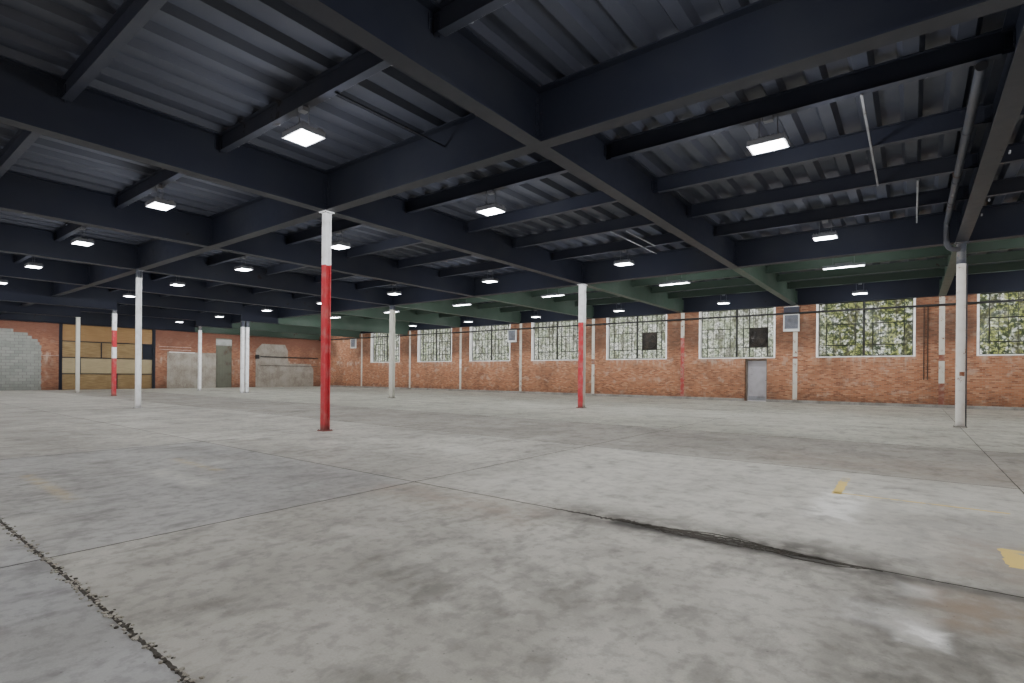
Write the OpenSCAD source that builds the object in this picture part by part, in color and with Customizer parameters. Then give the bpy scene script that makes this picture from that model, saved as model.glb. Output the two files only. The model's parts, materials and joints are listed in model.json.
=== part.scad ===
// Single-storey factory hall, a scale model at 1:2 of the real building.
// Brick walls, a flat roof on steel girders, two rows of columns, steel
// windows and one hinged door. Millimetres at the model's own size.
// +X runs along the window wall, +Y points at it from inside, +Z is up.
// The origin is the middle of the plan, at ground level.

/* [Hall] */
// Distance between the girder lines along the hall
bay = 3048; // [2800:1:3300]
// Number of regular bays, counted from the right end wall
bays = 7; // [7:1:8]
// Distance between the girder lines at the far end
end_bay = 3435; // [3200:1:3700]
// Number of wide bays at the far end
end_bays = 2; // [2:1:3]
// Distance between the column rows, which is also each span's width
span = 6096; // [5800:1:6400]
// Number of spans across the hall
spans = 3; // [3:1:3]
// Clear height from the floor to the underside of the girders
clear_h = 2600; // [2500:1:2800]
// Thickness of the brick walls
wall_t = 205; // [180:1:240]
// Thickness of the floor slab, whose top is the floor
floor_t = 100; // [70:1:130]
// Height of the parapet above the roof covering
parapet_h = 260; // [150:1:400]
// Extra depth of the girders at the far end, below the other girders
far_drop = 200; // [120:1:240]

/* [Windows] */
// Width of each window opening
window_w = 2075; // [1800:1:2200]
// Height of each window opening above its sill
window_h = 1435; // [1200:1:1440]
// Height of the window sills above the head of the doorway
sill_up = 50; // [45:1:90]
// Distance from the middle of the first bay to the middle of its window
first_window_off = 125; // [0:1:200]
// Thickness of the painted lining at the sides and head of each window
lining_t = 45; // [30:1:60]
// Depth of the lining, from the inner wall face outwards
lining_d = 150; // [110:1:170]
// Thickness of the sill slabs
sill_t = 26; // [18:1:32]
// Distance that a sill stands out of the wall on either side
sill_out = 12; // [5:1:18]
// Fall of the sills' outer part
sill_fall = 8; // [4:1:12]
// Depth of the drip grooves under the sills and the coping
drip_d = 4; // [2:1:6]
// Width of the steel section round each window
frame_w = 18; // [12:1:24]
// Depth of the steel section round each window
frame_d = 24; // [18:1:30]
// Width of the central post of each window
post_w = 52; // [36:1:64]
// Width of the section round the opening lights
light_w = 24; // [8:1:28]
// Width of the bars that carry the opening lights
bar_w = 11; // [8:1:14]
// Thickness of the glass
glass_t = 4; // [3:1:6]
// Panes across each half of a window
panes_x = 6; // [6:1:6]
// Panes up the height of a window
panes_z = 5; // [5:1:5]
// Depth of the dark panels that close a few panes
fan_d = 40; // [30:1:60]
// Width of the rim of those panels
fan_rim = 14; // [10:1:20]
// Thickness of their back plate
fan_back = 8; // [5:1:12]
// Width of the upright bars at both sides of those panels
fan_bar_w = 26; // [20:1:32]

/* [Door] */
// Bay that holds the door, counted from the right end wall
door_bay = 2; // [1:1:5]
// Distance from the middle of that bay to the middle of the door
door_off = 544; // [400:1:700]
// Width of the doorway through the wall
door_w = 580; // [480:1:600]
// Height of the doorway above the floor
door_h = 1180; // [1080:1:1190]
// Width of the frame's jambs and head, seen from the front
door_frame_w = 26; // [20:1:32]
// Depth of the door frame, through the wall
door_frame_d = 80; // [60:1:100]
// Thickness of the door leaf
leaf_t = 22; // [18:1:26]
// Gap between the leaf and its frame
leaf_gap = 6; // [6:1:8]
// Height of the gap under the leaf
leaf_lift = 8; // [6:1:12]
// Width of the stop behind the leaf's edges
stop_w = 16; // [12:1:22]
// Radius of the hinge knuckles
knuckle_r = 8; // [7:0.5:10]
// Radius of the hinge pins
pin_r = 4; // [3:0.5:5]
// Clearance between a pin and the leaf's knuckle
pin_gap = 0.1; // [0.05:0.05:0.2]
// Length of each knuckle
knuckle_h = 24; // [18:1:30]
// Thickness of the hinge leaves
hinge_leaf = 3; // [2:0.5:4]
// Height of the lever handles above the floor
handle_h = 500; // [460:1:560]
// Distance from the handles to the leaf's free edge
handle_in = 34; // [28:1:44]
// Length of the lever handles
handle_l = 70; // [55:1:80]
// Thickness of the lever handles
handle_t = 10; // [8:1:14]
// Distance that the handles stand out of the leaf
handle_out = 22; // [18:1:28]
// Height of the plates behind the handles
handle_plate_h = 90; // [70:1:110]
// Thickness of those plates
handle_plate_t = 4; // [3:1:6]

/* [Steel] */
// Depth of the main girders
girder_d = 457; // [420:1:480]
// Flange width of the main girders
girder_w = 140; // [120:1:160]
// Flange thickness of the main girders
girder_tf = 13; // [10:1:16]
// Web thickness of the main girders
girder_tw = 8; // [6:1:10]
// Depth of the joists between the girders
joist_d = 172; // [150:1:190]
// Flange width of the joists
joist_w = 68; // [60:1:80]
// Flange thickness of the joists
joist_tf = 6; // [5:1:8]
// Web thickness of the joists
joist_tw = 4; // [3:1:6]
// Joists in each span
joists = 4; // [4:1:4]
// Play above and below a web that is notched into a girder
cope = 3; // [2:1:6]

/* [Columns] */
// Side of the columns in the first row
row_1_side = 78; // [70:1:130]
// Side of the columns in the second row
row_2_side = 115; // [100:1:170]
// Diameter of the round column in the second row
round_d = 106; // [90:1:170]
// Side of the slim posts at the far end
post_side = 92; // [80:1:110]
// Distance from the first row to the near posts
post_in_1 = 1325; // [1200:1:1400]
// Distance from the second row to the far posts
post_in_2 = 1160; // [1050:1:1300]
// Gap between the two posts that stand as a pair
pair_gap = 60; // [40:1:90]
// Flange and web thickness of the columns
column_t = 9; // [7:1:12]
// Overhang of the base and cap plates past the columns
plate_out = 24; // [20:1:44]
// Thickness of the base and cap plates
plate_t = 12; // [8:1:16]
// Width of the columns built into the walls
wall_column_w = 108; // [70:1:150]
// Depth of the columns built into the walls
wall_column_d = 118; // [100:1:130]

/* [Roof] */
// Spacing of the ribs of the roof deck
rib_pitch = 305; // [260:1:340]
// Height of those ribs
rib_h = 62; // [50:1:75]
// Sheet thickness of the deck
sheet_t = 4; // [3:1:6]
// Width of the lower flats between the ribs
rib_flat = 96; // [80:1:110]
// Width of each sloping side of a rib
rib_slope = 34; // [24:1:44]
// Thickness of the roof covering
cover_t = 70; // [50:1:100]
// Thickness of the parapet coping
coping_t = 34; // [24:1:44]
// Overhang of the coping on either side of the wall
coping_out = 22; // [20:1:30]
// Fall of the coping's top towards the roof
coping_fall = 10; // [5:1:14]
// Gap between lengths of coping
coping_gap = 4; // [2:1:8]

/* [Fittings] */
// Height of the kerb along the long walls
kerb_h = 72; // [50:1:90]
// Depth of that kerb
kerb_d = 42; // [30:1:60]
// Size of the bevel along the kerb's upper edge
kerb_bevel = 14; // [8:1:18]
// Diameter of the pipe along the window wall
wall_pipe_d = 50; // [40:1:60]
// Height of that pipe above the floor
wall_pipe_h = 2395; // [2300:1:2450]
// Distance from that pipe's middle to the wall
wall_pipe_off = 90; // [70:1:110]
// Width of that pipe's brackets
bracket_w = 20; // [14:1:30]
// Thickness of those brackets
bracket_t = 12; // [8:1:16]
// Diameter of the rainwater pipe
drain_d = 68; // [50:1:110]
// Gap between the rainwater pipe and the girders beside it
drain_off = 66; // [30:1:80]
// Height of the rainwater pipe's collars above its skin
collar_out = 5; // [3:1:8]
// Length of those collars
collar_l = 44; // [30:1:60]
// Radius of the rainwater pipe's bend
drain_r = 110; // [100:1:150]
// Distance from the girders down to the middle of the pipe's last stretch
drain_down = 95; // [80:1:120]
// Gap between a hung pipe and what it hangs under
seat = 0.3; // [0.2:0.1:0.5]
// Length of a high-bay lamp
lamp_l = 290; // [260:1:320]
// Width of a high-bay lamp
lamp_w = 220; // [190:1:250]
// Height of a high-bay lamp's housing
lamp_h = 46; // [36:1:60]
// Width of the rim round a lamp's lens
lamp_rim = 12; // [8:1:18]
// Depth of the recess that holds the lens
lamp_recess = 8; // [5:1:12]
// Height of the driver box on a lamp
driver_h = 34; // [24:1:44]
// Height of a lamp's lower face above the underside of the girders
lamp_up = 36; // [20:1:60]
// Diameter of the rods that carry the lamps
rod_d = 8; // [6:1:12]
// Length of a strip light
strip_l = 640; // [560:1:720]
// Width of a strip light
strip_w = 130; // [100:1:160]
// Width of a wall ventilator
vent_w = 385; // [360:1:480]
// Height of a wall ventilator
vent_h = 467; // [440:1:560]
// Depth of a wall ventilator in front of the wall
vent_d = 60; // [50:1:64]
// Distances from the second, fifth and eighth girder lines to their ventilators
vent_2_off = 90; // [60:1:300]
vent_5_off = 370; // [300:1:600]
vent_8_off = 610; // [400:1:800]
// Height of the ventilators' lower edge above the floor
vent_z = 1913; // [1800:1:1920]
// Width of the rim of a ventilator
vent_rim = 28; // [20:1:36]
// Thickness of the back plate of a ventilator
vent_back = 8; // [5:1:12]
// Louvre blades in a ventilator
blades = 7; // [5:1:9]
// Width of a louvre blade
blade_w = 32; // [26:1:38]
// Thickness of a louvre blade
blade_t = 3; // [2:1:4]

/* [Far end wall] */
// Distance from the first row to the middle of the boarded opening
boarded_mid = 3115; // [3000:1:3200]
// Width of the boarded opening
boarded_w = 3060; // [2900:1:3200]
// Width of the steel posts at its sides
boarded_post = 100; // [80:1:120]
// Height of the boarded opening above the floor
boarded_h = 2500; // [2400:1:2560]
// Thickness of the boards
board_t = 40; // [30:1:60]
// Distance from the first row to the block infill's middle
block_mid = -365; // [-450:1:-300]
// Width of the block infill
block_w = 2950; // [2800:1:3000]
// Height of the block infill
block_h = 2120; // [2000:1:2200]
// Height of one course of blocks
block_course = 106; // [100:1:110]
// Depth of the toothing along the infill's edge
block_tooth = 16; // [8:1:40]
// Distance from the second row to the middle of the closed side doorway
closed_mid = 1240; // [1100:1:1400]
// Width of the closed side doorway
closed_w = 700; // [640:1:760]
// Height of the closed side doorway
closed_h = 2210; // [2100:1:2300]
// Height of the panel over the closed door
closed_top = 340; // [250:1:420]
// Height of the rail under that panel
closed_rail = 36; // [24:1:50]
// Distance that the closed door is set back behind the panel
closed_in = 24; // [12:1:40]
// Rows of boards in the boarded opening
board_rows = 4; // [3:1:6]
// Gap between the rows of boards, which a steel rail fills
board_gap = 34; // [5:1:44]
// Distance that those rails stand out of the boards on either side
rail_out = 10; // [5:1:18]
// Thickness of the render patches
render_t = 10; // [6:1:16]
// Distance from the second row back to the edge of the first render patch
render_in = 1030; // [900:1:1100]
// Height of the first render patch
render_1_h = 1525; // [1400:1:1700]
// Distance from the window wall to the second render patch
render_gap = 426; // [120:1:600]
// Width of the second render patch's tall part
render_2_w = 1600; // [1400:1:2500]
// Height of the second render patch's tall part
render_2_h = 2055; // [1600:1:2200]
// Width of the second render patch's low part
render_3_w = 1400; // [1200:1:1600]
// Height of the second render patch's low part
render_3_h = 1140; // [1000:1:1300]
// Size of the steps in that patch's upper edge
render_step = 300; // [200:1:500]

/* [Hidden] */

hall_l = bays*bay + end_bays*end_bay;
hall_w = spans*span;
lines = bays + end_bays;
x_right = hall_l/2;
x_left = -x_right;
y_win = hall_w/2;
y_near = -y_win;
girder_z = floor_t + clear_h;
deck_z = girder_z + girder_d;
joist_z = deck_z - joist_d;
cover_z = deck_z + rib_h;
wall_h = cover_z + cover_t + parapet_h;
door_x = (line_x(door_bay) + line_x(door_bay + 1))/2 + door_off;
door_x0 = door_x - door_w/2;
door_x1 = door_x + door_w/2;
door_head_z = floor_t + door_h;
sill_h = door_h + sill_up;
sill_z = floor_t + sill_h;
head_z = sill_z + window_h;
y_out = y_win + wall_t;
frame_y = lining_d - frame_d;
light_x = (window_w/2 - lining_t - frame_w - post_w/2)/panes_x;
light_z = (window_h - lining_t - 2*frame_w)/panes_z;
column_lines = [1, 3, 5];
window_bays = lines - 1;
// Bay of each fan panel, and the free panes between it and the central post
fan_places = [[2, 2], [3, 1]];
fan_panes = [3, 2];
far_z = girder_z - far_drop;
board_row_h = (boarded_h - boarded_post)/board_rows;
// Steps of the block infill's upper corner, from the lowest, in course heights
block_steps = [0.5, 1, 2.5, 3.5, 7];
pair = post_side + pair_gap;
// Places of the rainwater pipe's collars, in joist spacings from the third joist
collar_places = [0.2, 0.9];
// Size of a lamp's driver box as a share of its housing
driver_share = 0.4;
lamp_z = girder_z + lamp_up;
smooth = 48;

brick = "#a9583a";
steel_dark = "#3f454d";
steel_white = "#d9dad6";
steel_red = "#b23338";
concrete = "#a8a49b";
white_paint = "#e4e6de";

// Girder lines run from 0 at the right end wall to the far end wall
function line_x(i) = i <= bays ? x_right - i*bay : x_right - bays*bay - (i - bays)*end_bay;
// Rows run from 0 at the near wall to the window wall
function row_y(j) = y_near + j*span;
function bay_mid(i) = (line_x(i) + line_x(i + 1))/2;
function joist_y(j, k) = row_y(j) + (k + 1)*span/(joists + 1);
// The end lines stand inside the end walls, the others on their grid line
function girder_x(i) = i == 0 ? x_right - girder_w/2 : i == lines ? x_left + girder_w/2 : line_x(i);
function girder_y(j) = j == 0 ? y_near + girder_w/2 : j == spans ? y_win - girder_w/2 : row_y(j);
function window_mid(i) = bay_mid(i) + (i == 0 ? first_window_off : 0);

// Stretches of a cross girder that are deeper. At the far end they reach from
// the walls to the posts, and right across at the end wall
function deep_parts(i, j) =
    i < bays ? [] :
    i < lines && j == 1 ? [
        [row_y(1), row_y(1) + post_in_1 + (post_side + plate_out)/2],
        [row_y(2) - post_in_2 - (pair + post_side + plate_out)/2, row_y(2)]] :
    [[j == 0 ? y_near + girder_w : row_y(j), j == spans - 1 ? y_win - girder_w : row_y(j + 1)]];

// Outline of an I-section, standing on its lower flange
module i_section(w, d, tf, tw) {
    translate([-w/2, 0]) square([w, tf]);
    translate([-w/2, d - tf]) square([w, tf]);
    translate([-tw/2, 0]) square([tw, d]);
}

module beam_x(x0, x1, y, z, w, d, tf, tw) {
    translate([x0, y, z]) rotate([90, 0, 90]) linear_extrude(x1 - x0) i_section(w, d, tf, tw);
}

module beam_y(y0, y1, x, z, w, d, tf, tw) {
    translate([x, y1, z]) rotate([90, 0, 0]) linear_extrude(y1 - y0) i_section(w, d, tf, tw);
}

module girder_x_run(j) {
    beam_x(x_left, x_right, girder_y(j), girder_z, girder_w, girder_d, girder_tf, girder_tw);
}

// Plate that lies along Y, centred on a girder line
module plate_y(x, y0, y1, z, w, t) {
    translate([x - w/2, y0, z]) cube([w, y1 - y0, t]);
}

// Girder across one span: its flanges meet the long girders' flanges, and
// its notched web reaches their webs. A deep part runs on under those girders
module cross_girder(i, j) {
    x = girder_x(i);
    y0 = girder_y(j);
    y1 = girder_y(j + 1);
    a = y0 + girder_w/2;
    b = y1 - girder_w/2;
    deep = deep_parts(i, j);
    low_from = len(deep) == 0 ? a : min(b, deep[0][1]);
    low_to = len(deep) == 2 ? deep[1][0] : b;
    plate_y(x, a, b, deck_z - girder_tf, girder_w, girder_tf);
    plate_y(x, a, b, girder_z, girder_tw, girder_d);
    if (low_to > low_from) plate_y(x, low_from, low_to, girder_z, girder_w, girder_tf);
    translate([x - girder_tw/2, y0 + girder_tw/2, girder_z + girder_tf + cope])
        cube([girder_tw, y1 - y0 - girder_tw, girder_d - 2*girder_tf - 2*cope]);
    for (part = deep) {
        plate_y(x, part[0], part[1], far_z, girder_w, girder_tf);
        plate_y(x, part[0], part[1], far_z, girder_tw, far_drop);
    }
}

module cross_girders(j) {
    for (i = [0 : lines]) cross_girder(i, j);
}

// Joist across one bay, notched into the cross girders at both ends
module joist(i, y) {
    x0 = girder_x(i + 1);
    x1 = girder_x(i);
    beam_x(x0 + girder_w/2, x1 - girder_w/2, y, joist_z, joist_w, joist_d, joist_tf, joist_tw);
    translate([x0 + girder_tw/2, y - joist_tw/2, joist_z + joist_tf])
        cube([x1 - x0 - girder_tw, joist_tw, joist_d - joist_tf - girder_tf - cope]);
}

module joist_span(j) {
    for (i = [0 : lines - 1], k = [0 : joists - 1]) joist(i, joist_y(j, k));
}

// One length of trapezoidal sheet with its ribs along Y
module deck_sheet(x0, x1, y0, y1) {
    n = round((x1 - x0)/rib_pitch);
    p = (x1 - x0)/n;
    wave = [for (k = [0 : n - 1]) each [
        [k*p, 0], [k*p + rib_flat, 0],
        [k*p + rib_flat + rib_slope, rib_h - sheet_t], [(k + 1)*p - rib_slope, rib_h - sheet_t]]];
    line = concat(wave, [[n*p, 0]]);
    top = [for (k = [len(line) - 1 : -1 : 0]) line[k] + [0, sheet_t]];
    translate([x0, y1, deck_z]) rotate([90, 0, 0]) linear_extrude(y1 - y0) polygon(concat(line, top));
}

module window_hole(w_t) {
    translate([-window_w/2, -1, -sill_t]) cube([window_w, w_t + 2, window_h + sill_t]);
}

// Lining of one window: sides, head and sill. The inner wall face is y = 0
module window_lining() {
    side = (window_w - 2*lining_t);
    rotate([-90, 0, 0]) linear_extrude(lining_d) mirror([0, 1]) difference() {
        translate([-window_w/2, 0]) square([window_w, window_h]);
        translate([-side/2, -1]) square([side, window_h - lining_t + 1]);
    }
    translate([-window_w/2, 0, 0]) rotate([90, 0, 90]) linear_extrude(window_w) sill_outline();
}

// Section of a sill: flat inside, falling outside, with a drip groove
module sill_outline() {
    face = wall_t + sill_out;
    polygon([[-sill_out, -sill_t], [wall_t + sill_out/3, -sill_t], [wall_t + sill_out/3, drip_d - sill_t],
        [wall_t + 2*sill_out/3, drip_d - sill_t], [wall_t + 2*sill_out/3, -sill_t], [face, -sill_t],
        [face, -sill_fall], [lining_d, 0], [-sill_out, 0]]);
}

// Steel frame of one window with its central post. In each half the bars
// carry the ring of an opening light, two panes high and four wide
module window_frame() {
    in_w = window_w - 2*lining_t;
    in_h = window_h - lining_t;
    translate([0, frame_y, 0]) rotate([-90, 0, 0]) linear_extrude(frame_d) mirror([0, 1]) difference() {
        translate([-in_w/2, 0]) square([in_w, in_h]);
        translate([-in_w/2 + frame_w, frame_w]) square([in_w - 2*frame_w, in_h - 2*frame_w]);
    }
    translate([0, frame_y, 0]) rotate([-90, 0, 0]) linear_extrude(frame_d - glass_t) mirror([0, 1]) {
        translate([-post_w/2, frame_w]) square([post_w, in_h - 2*frame_w]);
        for (s = [-1, 1], u = [1, panes_x - 1])
            translate([s*(post_w/2 + u*light_x) - bar_w/2, frame_w]) square([bar_w, in_h - 2*frame_w]);
        for (s = [-1, 1], v = [1, 3])
            translate([min(s, 0)*(in_w/2 - frame_w), frame_w + v*light_z - bar_w/2])
                square([in_w/2 - frame_w, bar_w]);
        for (s = [-1, 1]) translate([s*(post_w/2 + panes_x*light_x/2), frame_w + 2*light_z])
            difference() {
                square([(panes_x - 2)*light_x + light_w, 2*light_z + light_w], center = true);
                square([(panes_x - 2)*light_x - light_w, 2*light_z - light_w], center = true);
            }
    }
}

// Upright bars from head to sill at both sides of each fan panel
module fan_bars() {
    in_h = window_h - lining_t - 2*frame_w;
    for (f = fan_places, e = [0, fan_panes[0]])
        translate([fan_x(f) + e*light_x - fan_bar_w/2, y_win + frame_y, sill_z + frame_w])
            cube([fan_bar_w, frame_d - glass_t, in_h]);
}

module window_pane() {
    in_w = window_w - 2*lining_t - 2*frame_w;
    translate([-in_w/2, frame_y + frame_d - glass_t, frame_w])
        cube([in_w, glass_t, window_h - lining_t - 2*frame_w]);
}

// Places children at each window of the window wall, near wall or right end wall
module at_windows() {
    for (i = [0 : window_bays - 1]) translate([window_mid(i), y_win, sill_z]) children();
}

module at_near_windows() {
    for (i = [0 : window_bays - 1])
        translate([window_mid(i), y_near, sill_z]) rotate([0, 0, 180]) children();
}

module at_end_windows() {
    for (j = [0 : spans - 1], q = [1, 3])
        translate([x_right, row_y(j) + q*span/4, sill_z]) rotate([0, 0, -90]) children();
}

// Upright recess that takes a built-in column, open to the inside
module column_chase() {
    translate([-wall_column_w/2, -1, floor_t]) cube([wall_column_w, wall_column_d + 1, deck_z - floor_t]);
}

module at_wall_columns() {
    for (i = [1 : lines - 1]) {
        translate([line_x(i), y_win, 0]) children();
        translate([line_x(i), y_near, 0]) rotate([0, 0, 180]) children();
    }
}

module floor_slab() {
    color(concrete) {
        translate([x_left, y_near, 0]) cube([hall_l, hall_w, floor_t]);
        translate([door_x0, y_win - 1, 0]) cube([door_w, wall_t + 1, floor_t]);
    }
}

// Window wall between two places along its length
module window_wall_part(x0, x1) {
    color(brick) difference() {
        translate([x0, y_win, 0]) cube([x1 - x0, wall_t, wall_h]);
        at_windows() window_hole(wall_t);
        at_wall_columns() column_chase();
    }
}

module window_wall_left() window_wall_part(x_left - wall_t, door_x0);

module window_wall_right() window_wall_part(door_x1, x_right + wall_t);

module window_wall_over_door() {
    color(brick) {
        translate([door_x0, y_win, door_head_z]) cube([door_w, wall_t, sill_z - sill_t - door_head_z]);
        translate([door_x0, y_win, head_z]) cube([door_w, wall_t, wall_h - head_z]);
    }
}

module near_wall() {
    color(brick) difference() {
        translate([x_left - wall_t, y_near - wall_t, 0]) cube([hall_l + 2*wall_t, wall_t, wall_h]);
        at_near_windows() window_hole(wall_t);
        at_wall_columns() column_chase();
    }
}

module right_end_wall() {
    color(brick) difference() {
        translate([x_right, y_near, 0]) cube([wall_t, hall_w, wall_h]);
        at_end_windows() window_hole(wall_t);
    }
}

// Outline of the block infill: its upper corner steps back course by course
module block_outline() {
    n = floor(block_h/block_course);
    low = n - len(block_steps);
    edge = [for (k = [0 : n - 1]) let (
        back = k < low ? (k % 2)*block_tooth : block_steps[k - low]*block_course)
        each [[block_w/2 - back, k*block_course], [block_w/2 - back, (k + 1)*block_course]]];
    polygon(concat([[-block_w/2, 0]], edge, [[-block_w/2, n*block_course]]));
}

// Places a shape drawn in Y and Z on the far end wall and gives it depth
module on_far_wall(depth, x = 0) {
    translate([x_left + x, 0, floor_t]) rotate([90, 0, 90]) translate([0, 0, -depth])
        linear_extrude(depth) children();
}

module far_end_wall() {
    color(brick) difference() {
        translate([x_left - wall_t, y_near, 0]) cube([wall_t, hall_w, wall_h]);
        on_far_wall(wall_t + 2, 1) translate([row_y(1) + block_mid, 0]) block_outline();
        on_far_wall(wall_t + 2, 1) translate([row_y(1) + boarded_mid - boarded_w/2, 0])
            square([boarded_w, boarded_h]);
        on_far_wall(wall_t + 2, 1) translate([row_y(2) + closed_mid - closed_w/2, 0])
            square([closed_w, closed_h]);
    }
}

module block_infill() {
    color("#b4b5ad") on_far_wall(wall_t) translate([row_y(1) + block_mid, 0]) block_outline();
}

// Steel frame with a rail between each two rows of boards, let into its posts
module boarded_frame() {
    w = boarded_w - 2*boarded_post;
    rail_l = w + boarded_post;
    color(steel_dark) {
        on_far_wall(wall_t) translate([row_y(1) + boarded_mid, 0]) difference() {
            translate([-boarded_w/2, 0]) square([boarded_w, boarded_h]);
            translate([-w/2, -1]) square([w, boarded_h - boarded_post + 1]);
        }
        for (k = [1 : board_rows - 1]) on_far_wall(board_t + 2*rail_out, rail_out - wall_t/3)
            translate([row_y(1) + boarded_mid - rail_l/2, k*board_row_h - board_gap])
                square([rail_l, board_gap]);
    }
}

module opening_boards() {
    w = boarded_w - 2*boarded_post;
    color("#c9a25c") for (k = [0 : board_rows - 1])
        on_far_wall(board_t, -wall_t/3) translate([row_y(1) + boarded_mid - w/2, k*board_row_h])
            square([w, board_row_h - (k < board_rows - 1 ? board_gap : 0)]);
}

// Closed door, set back under a panel, with a rail between them
module closed_doorway() {
    back = wall_t*0.6;
    split = closed_h - closed_top;
    y = row_y(2) + closed_mid - closed_w/2;
    color("#8b8f80") {
        on_far_wall(back - closed_in, -render_t - closed_in) translate([y, 0]) square([closed_w, split]);
        on_far_wall(back, -render_t) translate([y, split]) square([closed_w, closed_top]);
        on_far_wall(back + render_t) translate([y, split - closed_rail/2]) square([closed_w, closed_rail]);
    }
}

module render_patches() {
    w = render_2_w;
    h = render_2_h;
    w3 = w + render_3_w;
    h3 = render_3_h;
    s = render_step;
    color("#c2b199") {
        on_far_wall(render_t, render_t) translate([row_y(2) - render_in, 0])
            square([closed_mid - closed_w/2 + render_in, render_1_h]);
        on_far_wall(render_t, render_t) translate([y_win - render_gap - w3, 0])
            polygon([[0, 0], [w3, 0], [w3, h3 - s], [w3 - s/2, h3], [w + s/3, h3], [w, h3 + s/2],
                [w, h - s], [w - s/2, h], [s, h], [s/2, h - s/2], [0, h - s]]);
    }
}

module wall_columns() {
    color(steel_white) at_wall_columns() translate([0, 0, floor_t]) linear_extrude(deck_z - floor_t)
        i_section(wall_column_w, wall_column_d, column_t, column_t);
}

// Length of kerb along +X, with the wall behind it at y = 0
module kerb_run(l) {
    rotate([90, 0, 90]) linear_extrude(l)
        polygon([[0, 0], [kerb_d, 0], [kerb_d, kerb_h - kerb_bevel],
            [kerb_d - kerb_bevel, kerb_h], [0, kerb_h]]);
}

module kerbs() {
    color("#9b958a") translate([0, 0, floor_t]) {
        translate([x_left, y_near, 0]) kerb_run(hall_l);
        translate([door_x0, y_win, 0]) rotate([0, 0, 180]) kerb_run(door_x0 - x_left);
        translate([x_right, y_win, 0]) rotate([0, 0, 180]) kerb_run(x_right - door_x1);
    }
}

module window_linings() color(white_paint) at_windows() window_lining();
module window_frames() {
    color("#5d625c") {
        at_windows() window_frame();
        fan_bars();
    }
}

module window_glass() color("#cfe0d2", 0.4) at_windows() window_pane();
module near_window_linings() color(white_paint) at_near_windows() window_lining();
module near_window_frames() color("#5d625c") at_near_windows() window_frame();
module near_window_glass() color("#cfe0d2", 0.4) at_near_windows() window_pane();
module end_window_linings() color(white_paint) at_end_windows() window_lining();
module end_window_frames() color("#5d625c") at_end_windows() window_frame();
module end_window_glass() color("#cfe0d2", 0.4) at_end_windows() window_pane();

// Left edge of a fan panel, on a bar of its window's right half
function fan_x(f) = window_mid(f[0]) + post_w/2 + f[1]*light_x;

// Square panels that close three by two panes in two of the windows
module fan_panels() {
    w = fan_panes[0]*light_x;
    h = fan_panes[1]*light_z;
    color("#2c2f31") for (f = fan_places)
        translate([fan_x(f), y_win + frame_y - fan_d, sill_z + frame_w + light_z])
            difference() {
                cube([w, fan_d, h]);
                translate([fan_rim, -1, fan_rim])
                    cube([w - 2*fan_rim, fan_d - fan_back + 1, h - 2*fan_rim]);
            }
}

// Knuckle pairs of the door's three hinges, on the outer face
hinge_x = door_x0 + door_frame_w + leaf_gap/2;
hinge_y = y_out + knuckle_r;
leaf_x0 = door_x0 + door_frame_w + leaf_gap;
leaf_w = door_w - 2*door_frame_w - 2*leaf_gap;
leaf_z0 = floor_t + leaf_lift;
leaf_h = door_h - door_frame_w - leaf_gap - leaf_lift;
hinge_zs = [for (s = [0.14, 0.5, 0.86]) leaf_z0 + s*leaf_h];

module door_frame() {
    in_w = door_w - 2*door_frame_w;
    color("#6f7276") {
        translate([door_x, y_out, floor_t]) rotate([90, 0, 0]) {
            linear_extrude(door_frame_d) difference() {
                translate([-door_w/2, 0]) square([door_w, door_h]);
                translate([-in_w/2, -1]) square([in_w, door_h - door_frame_w + 1]);
            }
            translate([0, 0, leaf_t + leaf_gap])
                linear_extrude(door_frame_d - leaf_t - leaf_gap) difference() {
                    translate([-door_w/2, 0]) square([door_w, door_h]);
                    translate([-in_w/2 + stop_w, -1])
                        square([in_w - 2*stop_w, door_h - door_frame_w - stop_w + 1]);
                }
        }
        for (z = hinge_zs) {
            translate([hinge_x, hinge_y, z - knuckle_h])
                cylinder(r = knuckle_r, h = knuckle_h, $fn = smooth);
            translate([hinge_x, hinge_y, z - 1]) cylinder(r = pin_r, h = knuckle_h + 1, $fn = smooth);
            translate([hinge_x - knuckle_r - door_frame_w/2, y_out, z - knuckle_h])
                cube([knuckle_r + door_frame_w/2, hinge_leaf, knuckle_h]);
        }
    }
}

module door_leaf() {
    color("#9a9ca1") {
        translate([leaf_x0, y_out - leaf_t, leaf_z0]) cube([leaf_w, leaf_t, leaf_h]);
        for (z = hinge_zs) {
            difference() {
                union() {
                    translate([hinge_x, hinge_y, z + 1])
                        cylinder(r = knuckle_r, h = knuckle_h, $fn = smooth);
                    translate([hinge_x, y_out, z + 1])
                        cube([knuckle_r + door_frame_w, hinge_leaf, knuckle_h]);
                }
                translate([hinge_x, hinge_y, z])
                    cylinder(r = pin_r + pin_gap, h = knuckle_h + 2, $fn = smooth);
            }
        }
        translate([leaf_x0 + leaf_w - handle_in, y_out, floor_t + handle_h]) {
            lever_handle();
            translate([0, -leaf_t, 0]) mirror([0, 1, 0]) lever_handle();
        }
    }
}

// Lever handle on its plate: it stands out along +Y and points at the hinges
module lever_handle() {
    plate_w = 3*handle_t;
    translate([-plate_w/2, 0, -handle_plate_h/2]) cube([plate_w, handle_plate_t, handle_plate_h]);
    rotate([-90, 0, 0]) cylinder(d = handle_t, h = handle_out - handle_t/2, $fn = 32);
    translate([0, handle_out - handle_t/2, 0]) {
        rotate([0, -90, 0]) cylinder(d = handle_t, h = handle_l, $fn = 32);
        sphere(d = handle_t, $fn = 32);
    }
}

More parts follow.
